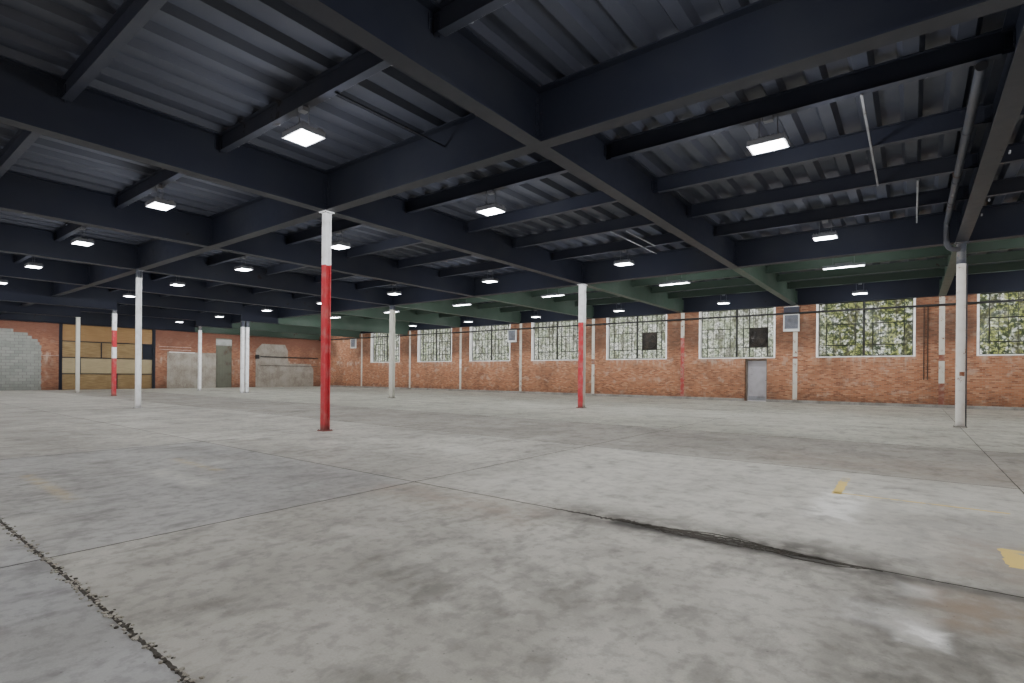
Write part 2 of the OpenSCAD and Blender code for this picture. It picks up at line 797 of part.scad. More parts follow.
// H-section column with its base and cap plates
module h_column(side) {
    tall = clear_h;
    translate([0, 0, floor_t]) {
        linear_extrude(tall) translate([0, -side/2]) i_section(side, side, column_t, column_t);
        for (z = [0, tall - plate_t])
            translate([-side/2 - plate_out, -side/2 - plate_out, z])
                cube([side + 2*plate_out, side + 2*plate_out, plate_t]);
    }
}

module round_column(d) {
    translate([0, 0, floor_t]) {
        cylinder(d = d, h = clear_h, $fn = smooth);
        for (z = [0, clear_h - plate_t])
            translate([-d/2 - plate_out, -d/2 - plate_out, z])
                cube([d + 2*plate_out, d + 2*plate_out, plate_t]);
    }
}

module square_post(side) {
    out = plate_out/2;
    tall = clear_h - far_drop;
    translate([0, 0, floor_t]) {
        translate([-side/2, -side/2, 0]) cube([side, side, tall]);
        for (z = [0, tall - plate_t])
            translate([-side/2 - out, -side/2 - out, z]) cube([side + 2*out, side + 2*out, plate_t]);
    }
}

module columns_row_1() {
    color(steel_red) for (i = column_lines) translate([line_x(i), row_y(1), 0]) h_column(row_1_side);
}

module columns_row_2() {
    color(steel_white) {
        translate([line_x(1), row_y(2), 0]) round_column(round_d);
        for (i = [3, 5]) translate([line_x(i), row_y(2), 0]) h_column(row_2_side);
    }
}

module far_posts() {
    color(steel_white) for (i = [bays, bays + 1]) {
        translate([line_x(i), row_y(1) + post_in_1, 0]) square_post(post_side);
        for (s = i == bays ? [-0.5, 0.5] : [0])
            translate([line_x(i), row_y(2) - post_in_2 + s*pair, 0]) square_post(post_side);
    }
}

module row_girders() color(steel_dark) for (j = [1 : spans - 1]) girder_x_run(j);
module edge_beams() color(steel_dark) for (j = [0, spans]) girder_x_run(j);
module near_cross_girders() color(steel_dark) cross_girders(0);
module middle_cross_girders() color(steel_dark) cross_girders(1);
module window_cross_girders() color("#4a5a4c") cross_girders(2);
module near_joists() color(steel_dark) joist_span(0);
module middle_joists() color(steel_dark) joist_span(1);
module window_joists() color("#46544a") joist_span(2);

module deck_span(j) {
    color("#596069") for (i = [0 : lines - 1]) deck_sheet(line_x(i + 1), line_x(i), row_y(j), row_y(j + 1));
}

module near_deck() deck_span(0);
module middle_deck() deck_span(1);
module window_deck() deck_span(2);

module roof_covering() {
    color("#3a3b3d") translate([x_left, y_near, cover_z]) cube([hall_l, hall_w, cover_t]);
}

// Length of coping along X with its outer edge at y = -out: its top falls
// inwards and both overhangs have a drip groove
module coping_run(l, out) {
    w = wall_t + 2*coping_out;
    g = coping_out/3;
    translate([-l/2, -out, wall_h]) rotate([90, 0, 90]) linear_extrude(l)
        polygon([[0, 0], [g, 0], [g, drip_d], [2*g, drip_d], [2*g, 0],
            [w - 2*g, 0], [w - 2*g, drip_d], [w - g, drip_d], [w - g, 0], [w, 0],
            [w, coping_t - coping_fall], [0, coping_t]]);
}

module coping() {
    long = hall_l + 2*wall_t + 2*coping_out;
    short = hall_w - 2*coping_out - 2*coping_gap;
    color("#8f8d87") {
        for (a = [0, 180]) rotate([0, 0, a]) coping_run(long, y_out + coping_out);
        for (a = [90, -90]) rotate([0, 0, a]) coping_run(short, x_right + wall_t + coping_out);
    }
}

// Quarter bend of pipe: from a run along +Y at the origin, down to -Z
module pipe_bend(d, r) {
    translate([0, 0, -r]) rotate([0, -90, 0]) rotate_extrude(angle = 90, $fn = smooth)
        translate([r, 0]) circle(d = d, $fn = smooth);
}

// Rainwater pipe under the middle span's joists. It turns down before the
// second row's girder and runs into the round column below it
module rainwater_pipe() {
    x = line_x(1) - girder_w/2 - drain_d/2 - drain_off;
    y2 = row_y(2) - girder_w/2 - drain_d/2 - drain_off;
    z = joist_z - drain_d/2 - seat;
    y0 = joist_y(1, 0);
    y1 = y2 - drain_r;
    z1 = girder_z - drain_down;
    to_column = atan2(row_y(2) - y2, line_x(1) - x);
    reach = norm([line_x(1) - x, row_y(2) - y2]);
    color("#7d8386") {
        translate([x, y1, z]) rotate([90, 0, 0]) cylinder(d = drain_d, h = y1 - y0, $fn = smooth);
        for (s = collar_places)
            translate([x, joist_y(1, 2) + s*span/(joists + 1) + collar_l/2, z]) rotate([90, 0, 0])
                cylinder(d = drain_d + 2*collar_out, h = collar_l, $fn = smooth);
        translate([x, y1, z]) pipe_bend(drain_d, drain_r);
        translate([x, y2, z1 + drain_r]) cylinder(d = drain_d, h = z - z1 - 2*drain_r, $fn = smooth);
        translate([x, y2, z1]) rotate([0, 0, to_column - 90]) {
            translate([0, drain_r, 0]) rotate([0, 0, 180]) mirror([0, 0, 1]) pipe_bend(drain_d, drain_r);
            difference() {
                translate([0, drain_r, 0]) rotate([-90, 0, 0])
                    cylinder(d = drain_d, h = reach - drain_r, $fn = smooth);
                translate([0, reach, -drain_d]) cylinder(d = round_d + 2*seat, h = 2*drain_d, $fn = smooth);
            }
        }
    }
}

// Pipe along the window wall on a bracket at each girder line
module wall_pipe() {
    z = floor_t + wall_pipe_h;
    color("#2f2f30") {
        translate([x_left, y_win - wall_pipe_off, z]) rotate([0, 90, 0])
            cylinder(d = wall_pipe_d, h = hall_l, $fn = 24);
        for (i = [1 : lines - 1])
            translate([line_x(i) - bracket_w/2, y_win - wall_pipe_off, z - bracket_t/2])
                cube([bracket_w, wall_pipe_off, bracket_t]);
    }
}

// Louvred ventilators on the window wall
module ventilator(x) {
    in_w = vent_w - 2*vent_rim;
    in_h = vent_h - 2*vent_rim;
    translate([x - vent_w/2, y_win - vent_d, floor_t + vent_z]) {
        difference() {
            cube([vent_w, vent_d, vent_h]);
            translate([vent_rim, -1, vent_rim]) cube([in_w, vent_d - vent_back + 1, in_h]);
        }
        for (k = [0 : blades - 1])
            translate([vent_rim - 1, vent_d - vent_back + 1, vent_rim + (k + 0.8)*in_h/blades])
                rotate([35, 0, 0]) translate([0, -blade_w, 0]) cube([in_w + 2, blade_w, blade_t]);
    }
}

module wall_ventilators() {
    color(white_paint) {
        ventilator(line_x(2) - vent_2_off);
        ventilator(line_x(5) - vent_5_off);
        ventilator(line_x(8) - vent_8_off);
    }
}

// Lamp on two rods under a joist, with a recess for its lens and a driver box
module lamp(l, w) {
    difference() {
        translate([-l/2, -w/2, 0]) cube([l, w, lamp_h]);
        translate([lamp_rim - l/2, lamp_rim - w/2, -1])
            cube([l - 2*lamp_rim, w - 2*lamp_rim, lamp_recess + 1]);
    }
    translate([-driver_share*l/2, -driver_share*w/2, lamp_h - 1])
        cube([driver_share*l, driver_share*w, driver_h + 1]);
    translate([-l/4, 0, lamp_h - 1]) cylinder(d = rod_d, h = joist_z - lamp_z - lamp_h + 1, $fn = 16);
    translate([l/4, 0, lamp_h - 1]) cylinder(d = rod_d, h = joist_z - lamp_z - lamp_h + 1, $fn = 16);
}

function is_strip_row(j, k) = j == spans - 1 && k == 0;

module high_bay_lamps() {
    color("#e8e8e4") for (i = [0 : lines - 1], j = [0 : spans - 1], k = [0, joists - 1])
        if (!is_strip_row(j, k)) translate([bay_mid(i), joist_y(j, k), lamp_z]) lamp(lamp_l, lamp_w);
}

module strip_lights() {
    color("#e8e8e4") for (i = [0 : lines - 1])
        translate([bay_mid(i), joist_y(spans - 1, 0), lamp_z]) lamp(strip_l, strip_w);
}

floor_slab();
window_wall_left();
window_wall_right();
window_wall_over_door();
near_wall();
right_end_wall();
far_end_wall();
block_infill();
boarded_frame();
opening_boards();
closed_doorway();
render_patches();
wall_columns();
kerbs();
window_linings();
window_frames();
window_glass();
fan_panels();
near_window_linings();
near_window_frames();
near_window_glass();
end_window_linings();
end_window_frames();
end_window_glass();
door_frame();
door_leaf();
columns_row_1();
columns_row_2();
far_posts();
row_girders();
edge_beams();
near_cross_girders();
middle_cross_girders();
window_cross_girders();
near_joists();
middle_joists();
window_joists();
near_deck();
middle_deck();
window_deck();
roof_covering();
coping();
rainwater_pipe();
wall_pipe();
wall_ventilators();
high_bay_lamps();
strip_lights();
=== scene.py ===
import json
import math
import random

import bpy
import numpy as np
from mathutils import Matrix, Vector


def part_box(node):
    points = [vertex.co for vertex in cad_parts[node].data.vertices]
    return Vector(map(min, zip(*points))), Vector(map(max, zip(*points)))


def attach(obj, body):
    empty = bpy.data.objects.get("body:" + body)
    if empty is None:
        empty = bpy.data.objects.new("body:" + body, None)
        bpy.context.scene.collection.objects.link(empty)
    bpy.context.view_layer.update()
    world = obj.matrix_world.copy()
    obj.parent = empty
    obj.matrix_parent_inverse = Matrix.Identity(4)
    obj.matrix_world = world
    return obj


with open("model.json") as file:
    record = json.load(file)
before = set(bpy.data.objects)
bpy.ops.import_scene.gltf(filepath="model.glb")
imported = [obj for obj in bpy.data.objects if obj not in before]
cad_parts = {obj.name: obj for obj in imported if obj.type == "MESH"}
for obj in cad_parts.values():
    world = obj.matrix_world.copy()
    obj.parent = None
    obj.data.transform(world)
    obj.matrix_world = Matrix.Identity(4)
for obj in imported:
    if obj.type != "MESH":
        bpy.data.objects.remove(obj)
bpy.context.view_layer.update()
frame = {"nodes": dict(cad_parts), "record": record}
nodes = frame["nodes"]
print("frame loaded:", len(nodes), "nodes")


# Places that the frame gives

def solidBoxes(node):
    # Box of each separate solid of a node; points at one place are joined first
    mesh = nodes[node].data
    points = np.empty(len(mesh.vertices) * 3)
    mesh.vertices.foreach_get("co", points)
    keys, index = np.unique(np.round(points.reshape(-1, 3), 4), axis=0, return_inverse=True)
    index = index.ravel()
    owner = list(range(len(keys)))

    def root(i):
        while owner[i] != i:
            owner[i] = owner[owner[i]]
            i = owner[i]
        return i

    for face in mesh.polygons:
        first = root(index[face.vertices[0]])
        for corner in face.vertices[1:]:
            owner[root(index[corner])] = first
    groups = {}
    for i in range(len(keys)):
        groups.setdefault(root(i), []).append(i)
    boxes = [(Vector(keys[g].min(0)), Vector(keys[g].max(0))) for g in groups.values()]
    return sorted(boxes, key=lambda b: (-round(b[0].x, 2), round(b[0].y, 2)))


def middle(box):
    return (box[0] + box[1]) / 2


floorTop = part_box("kerbs")[0].z
innerLow = Vector((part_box("far_end_wall")[1].x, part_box("near_wall")[1].y, floorTop))
innerHigh = Vector((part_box("right_end_wall")[0].x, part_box("window_wall_left")[0].y, 0))
rowY = [middle(box).y for box in solidBoxes("row_girders")]
girderLines = sorted({round(middle(box).x, 3) for box in solidBoxes("near_cross_girders")}, reverse=True)
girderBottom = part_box("row_girders")[0].z
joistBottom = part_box("near_joists")[0].z


# Mesh tools

def turns(count):
    return [2 * math.pi * k / count for k in range(count)]


def facing(at, direction):
    # Place whose Z points in a direction
    return Matrix.Translation(Vector(at)) @ Vector(direction).to_track_quat("Z", "Y").to_matrix().to_4x4()


class Shape:
    # Gathers the faces of one piece
    def __init__(self):
        self.points = []
        self.faces = []

    def add(self, points, faces, place=None):
        start = len(self.points)
        self.points += [(place @ Vector(p)) if place else Vector(p) for p in points]
        self.faces += [[start + i for i in face] for face in faces]

    def box(self, low, high, place=None):
        (x0, y0, z0), (x1, y1, z1) = low, high
        points = [(x, y, z) for z in (z0, z1) for x, y in ((x0, y0), (x1, y0), (x1, y1), (x0, y1))]
        faces = [(3, 2, 1, 0), (4, 5, 6, 7), (0, 1, 5, 4), (1, 2, 6, 5), (2, 3, 7, 6), (3, 0, 4, 7)]
        self.add(points, faces, place)

    def rings(self, rings, place=None, closed=False):
        # Skin over rings with the same number of points each
        count = len(rings[0])
        points = [p for ring in rings for p in ring]
        faces = []
        for r in range(len(rings) - (0 if closed else 1)):
            a, b = r * count, ((r + 1) % len(rings)) * count
            for i in range(count):
                j = (i + 1) % count
                faces.append((a + i, a + j, b + j, b + i))
        if not closed:
            faces.append(tuple(range(count - 1, -1, -1)))
            faces.append(tuple(range(len(points) - count, len(points))))
        self.add(points, faces, place)

    def tube(self, path, radius, sides=10, place=None):
        # Round bar along a path of points
        path = [Vector(p) for p in path]
        rings = []
        for i, here in enumerate(path):
            before = path[max(i - 1, 0)]
            after = path[min(i + 1, len(path) - 1)]
            along = (after - before).normalized()
            across = along.orthogonal() if i == 0 else (across - along * across.dot(along))
            across.normalize()
            up = along.cross(across)
            rings.append([here + (across * math.cos(t) + up * math.sin(t)) * radius for t in turns(sides)])
        self.rings(rings, place)

    def turned(self, profile, sides, place=None, closed=False):
        # Round form about Z, from pairs of radius and height
        self.rings([[(r * math.cos(t), r * math.sin(t), z) for t in turns(sides)] for r, z in profile], place,
                   closed)

    def ribbon(self, path, width, top, rng, ragged=0.2, step=0.06, thick=0.0015, taper=False):
        # Flat strip on a floor with uneven sides, along a path of (x, y) points
        full = width
        for part, ((x0, y0), (x1, y1)) in enumerate(zip(path, path[1:])):
            if taper:
                width = full * (0.2 + 0.8 * math.sin(math.pi * (part + 0.5) / (len(path) - 1)))
            length = math.hypot(x1 - x0, y1 - y0)
            count = max(2, int(length / step))
            ax, ay = -(y1 - y0) / length, (x1 - x0) / length
            rings = []
            for k in range(count + 1):
                x, y = x0 + (x1 - x0) * k / count, y0 + (y1 - y0) * k / count
                shift = rng.uniform(-1, 1) * ragged * width
                a, b = (shift + side * width / 2 * rng.uniform(1 - ragged, 1 + ragged) for side in (-1, 1))
                rings.append([(x + ax * t, y + ay * t, z) for t, z in (
                    (a, top - thick), (b, top - thick), (b, top), (a, top))])
            self.rings(rings)

    def bolt(self, at, direction, size):
        # Hexagonal nut on a washer with the end of its bolt
        place = facing(at, direction)
        for radius, low, high, sides in ((0.95, -0.1, 0.12, 8), (0.72, 0.12, 0.6, 6), (0.4, 0.6, 0.85, 6)):
            self.turned([(radius * size, low * size), (radius * size, high * size)], sides, place)

    def build(self, name, material, slot, body="building", bevel=0.0, smooth=False):
        mesh = bpy.data.meshes.new(name)
        mesh.from_pydata(self.points, [], self.faces)
        mesh.validate()
        piece = bpy.data.objects.new(name, mesh)
        bpy.context.scene.collection.objects.link(piece)
        mesh.materials.append(material)
        if bevel:
            edges = piece.modifiers.new("edges", "BEVEL")
            edges.width = bevel
            edges.segments = 1
            edges.limit_method = "ANGLE"
        if smooth:
            mesh.shade_smooth()
        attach(piece, body)
        return piece


# Shader tools

def setSocket(socket, value):
    # A colour of three numbers gets full alpha
    if hasattr(value, "__len__") and len(value) == 3 and len(socket.default_value) == 4:
        value = (*value, 1)
    socket.default_value = value


def addNode(tree, kind, inputs=None, **settings):
    node = tree.nodes.new(kind)
    for key, value in settings.items():
        setattr(node, key, value)
    for key, value in (inputs or {}).items():
        if isinstance(value, bpy.types.NodeSocket):
            tree.links.new(value, node.inputs[key])
        else:
            setSocket(node.inputs[key], value)
    return node


def maths(tree, operation, *values, clamp=False):
    node = addNode(tree, "ShaderNodeMath", dict(enumerate(values)), operation=operation)
    node.use_clamp = clamp
    return node.outputs[0]


def product(tree, *values):
    result = values[0]
    for value in values[1:]:
        result = maths(tree, "MULTIPLY", result, value)
    return result


def vectors(tree, operation, *values):
    return addNode(tree, "ShaderNodeVectorMath", dict(enumerate(values)), operation=operation).outputs[0]


def axes(tree, place):
    return addNode(tree, "ShaderNodeSeparateXYZ", {0: place}).outputs


def objectPlace(tree):
    return addNode(tree, "ShaderNodeTexCoord").outputs["Object"]


def noise(tree, place, scale, detail, output=0, **inputs):
    given = {"Vector": place, "Scale": scale, "Detail": detail, **inputs}
    return addNode(tree, "ShaderNodeTexNoise", given).outputs[output]


def shaken(tree, place, cloud, push):
    # Place pushed about by the colour of a noise
    centred = vectors(tree, "SUBTRACT", cloud, (0.5, 0.5, 0.5))
    pushed = addNode(tree, "ShaderNodeVectorMath", {0: centred, "Scale": push}, operation="SCALE").outputs[0]
    return vectors(tree, "ADD", place, pushed)


def mixColor(tree, factor, first, second):
    return addNode(tree, "ShaderNodeMix", {0: factor, 6: first, 7: second}, data_type="RGBA").outputs[2]


def layer(tree, under, over, mask, amount):
    return mixColor(tree, product(tree, mask, amount), under, over)


def mixValue(tree, factor, first, second):
    return addNode(tree, "ShaderNodeMix", {0: factor, 2: first, 3: second}, data_type="FLOAT").outputs[0]


def spread(tree, value, low, high, bottom=0.0, top=1.0):
    # Stretches low..high to bottom..top, smoothly and with ends kept
    return addNode(tree, "ShaderNodeMapRange", {0: value, 1: low, 2: high, 3: bottom, 4: top},
                   interpolation_type="SMOOTHSTEP").outputs[0]


def newMaterial(name, roughness=0.6, **sockets):
    material = bpy.data.materials.new(name)
    material.use_nodes = True
    tree = material.node_tree
    shader = tree.nodes["Principled BSDF"]
    for key, value in {"Roughness": roughness, **sockets}.items():
        setSocket(shader.inputs[key.replace("_", " ")], value)
    return material, tree, shader


def newGroup(name, inputs, outputs):
    group = bpy.data.node_groups.new(name, "ShaderNodeTree")
    kinds = {"color": "NodeSocketColor", "value": "NodeSocketFloat", "vector": "NodeSocketVector"}
    for label, kind, default in inputs:
        setSocket(group.interface.new_socket(name=label, in_out="INPUT", socket_type=kinds[kind]), default)
    for label, kind in outputs:
        group.interface.new_socket(name=label, in_out="OUTPUT", socket_type=kinds[kind])
    return group, group.nodes.new("NodeGroupInput").outputs, group.nodes.new("NodeGroupOutput").inputs


def useGroup(tree, group, **inputs):
    named = {key.replace("_", " "): value for key, value in inputs.items()}
    return addNode(tree, "ShaderNodeGroup", named, node_tree=group).outputs


def connect(tree, shader, color, rough=None, relief=None):
    # relief is a height with its strength and depth
    tree.links.new(color, shader.inputs["Base Color"])
    if rough is not None:
        tree.links.new(rough, shader.inputs["Roughness"])
    if relief is not None:
        node = addNode(tree, "ShaderNodeBump", dict(zip(("Height", "Strength", "Distance"), relief)))
        tree.links.new(node.outputs[0], shader.inputs["Normal"])


# Shared effects

def makeWallPlane():
    # Flat coordinates on walls of any direction: along the wall, and up
    group, _, result = newGroup("wall plane", [], [("Plane", "vector")])
    source = addNode(group, "ShaderNodeTexCoord").outputs
    place = axes(group, source["Object"])
    toward = axes(group, source["Normal"])
    facesX, facesZ = (maths(group, "GREATER_THAN", maths(group, "ABSOLUTE", toward[i]), 0.7) for i in (0, 2))
    along = mixValue(group, facesX, place[0], place[1])
    up = mixValue(group, facesZ, place[2], place[1])
    joined = addNode(group, "ShaderNodeCombineXYZ", {0: along, 1: up}).outputs[0]
    group.links.new(joined, result["Plane"])
    return group


def makeBond():
    # Running bond: a random tone for each brick, the joints and the relief
    group, given, result = newGroup(
        "running bond",
        [("Plane", "vector", (0, 0, 0)), ("Length", "value", 0.1065), ("Course", "value", 0.0338),
         ("Joint", "value", 0.005)],
        [("Tone", "value"), ("Joints", "value"), ("Relief", "value")])
    plane = shaken(group, given["Plane"], noise(group, given["Plane"], 9.0, 2.0, "Color"), 0.004)
    bricks = addNode(group, "ShaderNodeTexBrick", {
        "Vector": plane, "Color1": (0, 0, 0), "Color2": (1, 1, 1), "Mortar": (0.5, 0.5, 0.5),
        "Scale": 1.0, "Mortar Size": given["Joint"], "Mortar Smooth": 0.25, "Bias": 0.0,
        "Brick Width": given["Length"], "Row Height": given["Course"]}).outputs
    tone = addNode(group, "ShaderNodeSeparateColor", {0: bricks["Color"]}).outputs[0]
    group.links.new(tone, result["Tone"])
    group.links.new(bricks["Fac"], result["Joints"])
    group.links.new(maths(group, "SUBTRACT", 1.0, bricks["Fac"]), result["Relief"])
    return group


def makeBlotches():
    # Cloudy mask; Stretch pulls it out along Z for runs, or along X or Y for drags
    group, given, result = newGroup(
        "blotches",
        [("Scale", "value", 1.0), ("Low", "value", 0.45), ("High", "value", 0.65), ("Detail", "value", 4.0),
         ("Stretch", "vector", (1, 1, 1)), ("Seed", "vector", (0, 0, 0))],
        [("Mask", "value"), ("Raw", "value")])
    shifted = vectors(group, "ADD", objectPlace(group), given["Seed"])
    pulled = vectors(group, "MULTIPLY", shifted, given["Stretch"])
    raw = noise(group, pulled, given["Scale"], given["Detail"], Roughness=0.6)
    group.links.new(spread(group, raw, given["Low"], given["High"]), result["Mask"])
    group.links.new(raw, result["Raw"])
    return group


def cloudMask(tree, **settings):
    return useGroup(tree, blotches, **settings)["Mask"]


def makeOldPaint():
    # Paint that has chipped down to what is below it
    group, given, result = newGroup(
        "old paint",
        [("Paint", "color", (1, 1, 1)), ("Under", "color", (0.1, 0.05, 0.03)), ("Chips", "value", 0.3),
         ("Scale", "value", 20.0), ("Grime", "color", (0.1, 0.09, 0.08)), ("Dirt", "value", 0.3)],
        [("Color", "color"), ("Roughness", "value"), ("Relief", "value")])
    source = objectPlace(group)
    fine = noise(group, source, given["Scale"], 4.0, Roughness=0.65)
    broad = noise(group, source, product(group, given["Scale"], 0.14), 3.0)
    both = maths(group, "MULTIPLY_ADD", broad, 0.55, product(group, fine, 0.45))
    limit = maths(group, "SUBTRACT", 0.68, product(group, given["Chips"], 0.25))
    bare = spread(group, maths(group, "SUBTRACT", both, limit), -0.008, 0.012)
    painted = layer(group, given["Paint"], given["Grime"], spread(group, broad, 0.4, 0.72), given["Dirt"])
    group.links.new(mixColor(group, bare, painted, given["Under"]), result["Color"])
    rough = maths(group, "ADD", maths(group, "MULTIPLY_ADD", bare, 0.3, 0.42), product(group, fine, 0.15))
    group.links.new(rough, result["Roughness"])
    group.links.new(maths(group, "SUBTRACT", product(group, fine, 0.25), bare), result["Relief"])
    return group


def makeFootGrime():
    # Dirt that has splashed up from a floor, with a ragged upper edge
    group, given, result = newGroup(
        "foot grime", [("Floor", "value", 0.1), ("Reach", "value", 0.15)], [("Mask", "value")])
    source = objectPlace(group)
    above = maths(group, "DIVIDE", maths(group, "SUBTRACT", axes(group, source)[2], given["Floor"]),
                  given["Reach"])
    ragged = maths(group, "MULTIPLY_ADD", noise(group, source, 7.0, 3.0), 1.6, -0.8)
    group.links.new(spread(group, maths(group, "ADD", above, ragged), 0.0, 1.0, 1.0, 0.0), result["Mask"])
    return group


def makeWarp():
    # Coordinates pushed about by noise, so that an edge drawn in them comes out ragged
    group, given, result = newGroup(
        "warp", [("Scale", "value", 12.0), ("Push", "value", 0.05), ("Detail", "value", 4.0)],
        [("Place", "vector")])
    source = objectPlace(group)
    cloud = noise(group, source, given["Scale"], given["Detail"], "Color", Roughness=0.6)
    group.links.new(shaken(group, source, cloud, given["Push"]), result["Place"])
    return group


def makePatch(name, flat):
    # Box-shaped place: Amount inside and 0 outside, fading over Soft; a flat one has no height
    group, given, result = newGroup(
        name, [("Place", "vector", (0, 0, 0)), ("Middle", "vector", (0, 0, 0)), ("Half", "vector", (1, 1, 1)),
               ("Soft", "value", 0.01), ("Amount", "value", 1.0)], [("Mask", "value")])
    away = vectors(group, "ABSOLUTE", vectors(group, "SUBTRACT", given["Place"], given["Middle"]))
    parts = axes(group, vectors(group, "SUBTRACT", away, given["Half"]))
    most = maths(group, "MAXIMUM", parts[0], parts[1])
    if not flat:
        most = maths(group, "MAXIMUM", most, parts[2])
    inside = spread(group, most, product(group, given["Soft"], -1.0), given["Soft"], given["Amount"], 0.0)
    group.links.new(inside, result["Mask"])
    return group


def patchMask(tree, place, low, high, soft=0.01, amount=1.0):
    # The corners have two numbers for a flat patch, or three
    group, rest = (patch, []) if len(low) == 3 else (flatPatch, [0])
    centre, half = ([(b + side * a) / 2 for a, b in zip(low, high)] + rest for side in (1, -1))
    return useGroup(tree, group, Place=place, Middle=centre, Half=half, Soft=soft, Amount=amount)["Mask"]


wallPlane = makeWallPlane()
warp = makeWarp()
patch = makePatch("patch", False)
flatPatch = makePatch("flat patch", True)
bond = makeBond()
blotches = makeBlotches()
oldPaint = makeOldPaint()
footGrime = makeFootGrime()
print("shared effects ready")


# Materials

brickLook = {
    "dark": (0.188, 0.064, 0.034), "body": (0.375, 0.143, 0.068), "pale": (0.48, 0.251, 0.146),
    "joint": (0.315, 0.206, 0.139), "soot": (0.056, 0.035, 0.027), "lime": (0.525, 0.443, 0.36),
    "farShade": (0.143, 0.064, 0.046), "farShadeAmount": 0.42,
    "sootAmount": 0.4, "limeAmount": 0.45, "relief": 0.004,
    # headShadeLow is where the painted shade above the windows begins
    "pierSootLow": 1.62, "pierSootHigh": 2.36, "headShadeLow": 2.4, "underSill": (0.95, 1.34),
}


def makeBrick():
    look = brickLook
    material, tree, shader = newMaterial("old brick", 0.85)
    plane = useGroup(tree, wallPlane)["Plane"]
    bricks = useGroup(tree, bond, Plane=plane)
    body = mixColor(tree, spread(tree, bricks["Tone"], 0.0, 0.5), look["dark"], look["body"])
    body = mixColor(tree, spread(tree, bricks["Tone"], 0.6, 1.0), body, look["pale"])
    grain = useGroup(tree, blotches, Scale=90.0, Low=0.35, High=0.7, Detail=3.0)
    body = layer(tree, body, look["pale"], grain["Mask"], 0.25)
    wall = mixColor(tree, bricks["Joints"], body, look["joint"])
    soot = cloudMask(tree, Scale=1.3, Low=0.44, High=0.70, Stretch=(1, 1, 0.6), Detail=4.0)
    wall = layer(tree, wall, look["soot"], soot, look["sootAmount"])
    lime = cloudMask(tree, Scale=3.4, Low=0.54, High=0.72, Seed=(31, 7, 3), Detail=5.0)
    wall = layer(tree, wall, look["lime"], lime, look["limeAmount"])
    # Inside, smoke lies on the piers, painted shade darkens the brick up at the girders, and lime has run
    # from the sills
    ragged = useGroup(tree, warp, Scale=2.2, Push=0.55)["Place"]
    place = axes(tree, ragged)
    indoors = patchMask(tree, objectPlace(tree),
                        (innerLow.x - 0.02, innerLow.y - 0.02, 0),
                        (innerHigh.x + 0.02, innerHigh.y + 0.02, 5), 0.005)
    bayPart = maths(tree, "DIVIDE", maths(tree, "SUBTRACT", place[0], girderLines[1]),
                    girderLines[1] - girderLines[2])
    fromPier = maths(tree, "PINGPONG", maths(tree, "ABSOLUTE", bayPart), 0.5)  # 0 at a column, 0.5 mid bay
    longWall = maths(tree, "GREATER_THAN", maths(tree, "ABSOLUTE", place[1]), innerHigh.y - 0.3)
    onPier = product(tree, longWall, spread(tree, fromPier, 0.16, 0.3, 1.0, 0.0))
    low, high = look["pierSootLow"], look["pierSootHigh"]
    band = product(tree, spread(tree, place[2], low - 0.25, low + 0.2),
                   spread(tree, place[2], high - 0.1, high + 0.25, 1.0, 0.0))
    sootAndHeadShade = product(tree, onPier, band, 0.62)
    # Painted shade: the brick above the window heads darkens towards the girders, in the soot colour
    headShade = product(tree, spread(tree, place[2], look["headShadeLow"] - 0.2, look["headShadeLow"] + 0.4), 0.6)
    sootAndHeadShade = product(tree, maths(tree, "MAXIMUM", sootAndHeadShade, headShade), indoors)
    wall = mixColor(tree, sootAndHeadShade, wall, look["soot"])
    # Painted shade: the inside of the far end wall is darkened, more towards the top
    farEnd = patchMask(tree, ragged, (innerLow.x - 1, innerLow.y - 1, 0),
                       (innerLow.x + 0.35, innerHigh.y + 1, 5), 0.1)
    farShade = maths(tree, "ADD", spread(tree, place[2], 1.5, 2.3, 0.0, 0.45), look["farShadeAmount"])
    wall = layer(tree, wall, look["farShade"], product(tree, farEnd, indoors), farShade)
    low, high = look["underSill"]
    runs = cloudMask(tree, Scale=7.0, Low=0.46, High=0.66, Stretch=(1, 1, 0.25), Detail=4.0)
    below = product(tree, spread(tree, place[2], low, high),
                    spread(tree, place[2], high, high + 0.1, 1.0, 0.0), runs,
                    spread(tree, fromPier, 0.14, 0.2))
    wall = layer(tree, wall, look["lime"], below, 0.55)
    foot = useGroup(tree, footGrime, Floor=0.12, Reach=0.30)["Mask"]
    wall = layer(tree, wall, look["soot"], foot, 0.4)
    rough = maths(tree, "MULTIPLY_ADD", grain["Raw"], 0.2, 0.72)
    height = maths(tree, "MULTIPLY_ADD", grain["Raw"], 0.25, bricks["Relief"])
    connect(tree, shader, wall, rough, (height, 0.8, look["relief"]))
    return material


blockLook = {"body": (0.204, 0.214, 0.197), "pale": (0.272, 0.279, 0.255), "joint": (0.126, 0.129, 0.116)}


def makeBlock():
    look = blockLook
    material, tree, shader = newMaterial("concrete block", 0.9)
    plane = useGroup(tree, wallPlane)["Plane"]
    lower = vectors(tree, "SUBTRACT", plane, (0, floorTop, 0))
    blocks = useGroup(tree, bond, Plane=lower, Length=0.212, Course=0.106, Joint=0.006)
    body = mixColor(tree, blocks["Tone"], look["body"], look["pale"])
    grain = useGroup(tree, blotches, Scale=120.0, Low=0.3, High=0.7)
    body = layer(tree, body, look["joint"], grain["Mask"], 0.3)
    body = mixColor(tree, blocks["Joints"], body, look["joint"])
    washed = cloudMask(tree, Scale=2.0, Low=0.45, High=0.7, Detail=4.0)
    body = layer(tree, body, look["pale"], washed, 0.5)
    foot = useGroup(tree, footGrime, Floor=0.12, Reach=0.3)["Mask"]
    body = layer(tree, body, look["joint"], foot, 0.4)
    height = maths(tree, "MULTIPLY_ADD", grain["Raw"], 0.3, blocks["Relief"])
    connect(tree, shader, body, relief=(height, 0.8, 0.004))
    return material


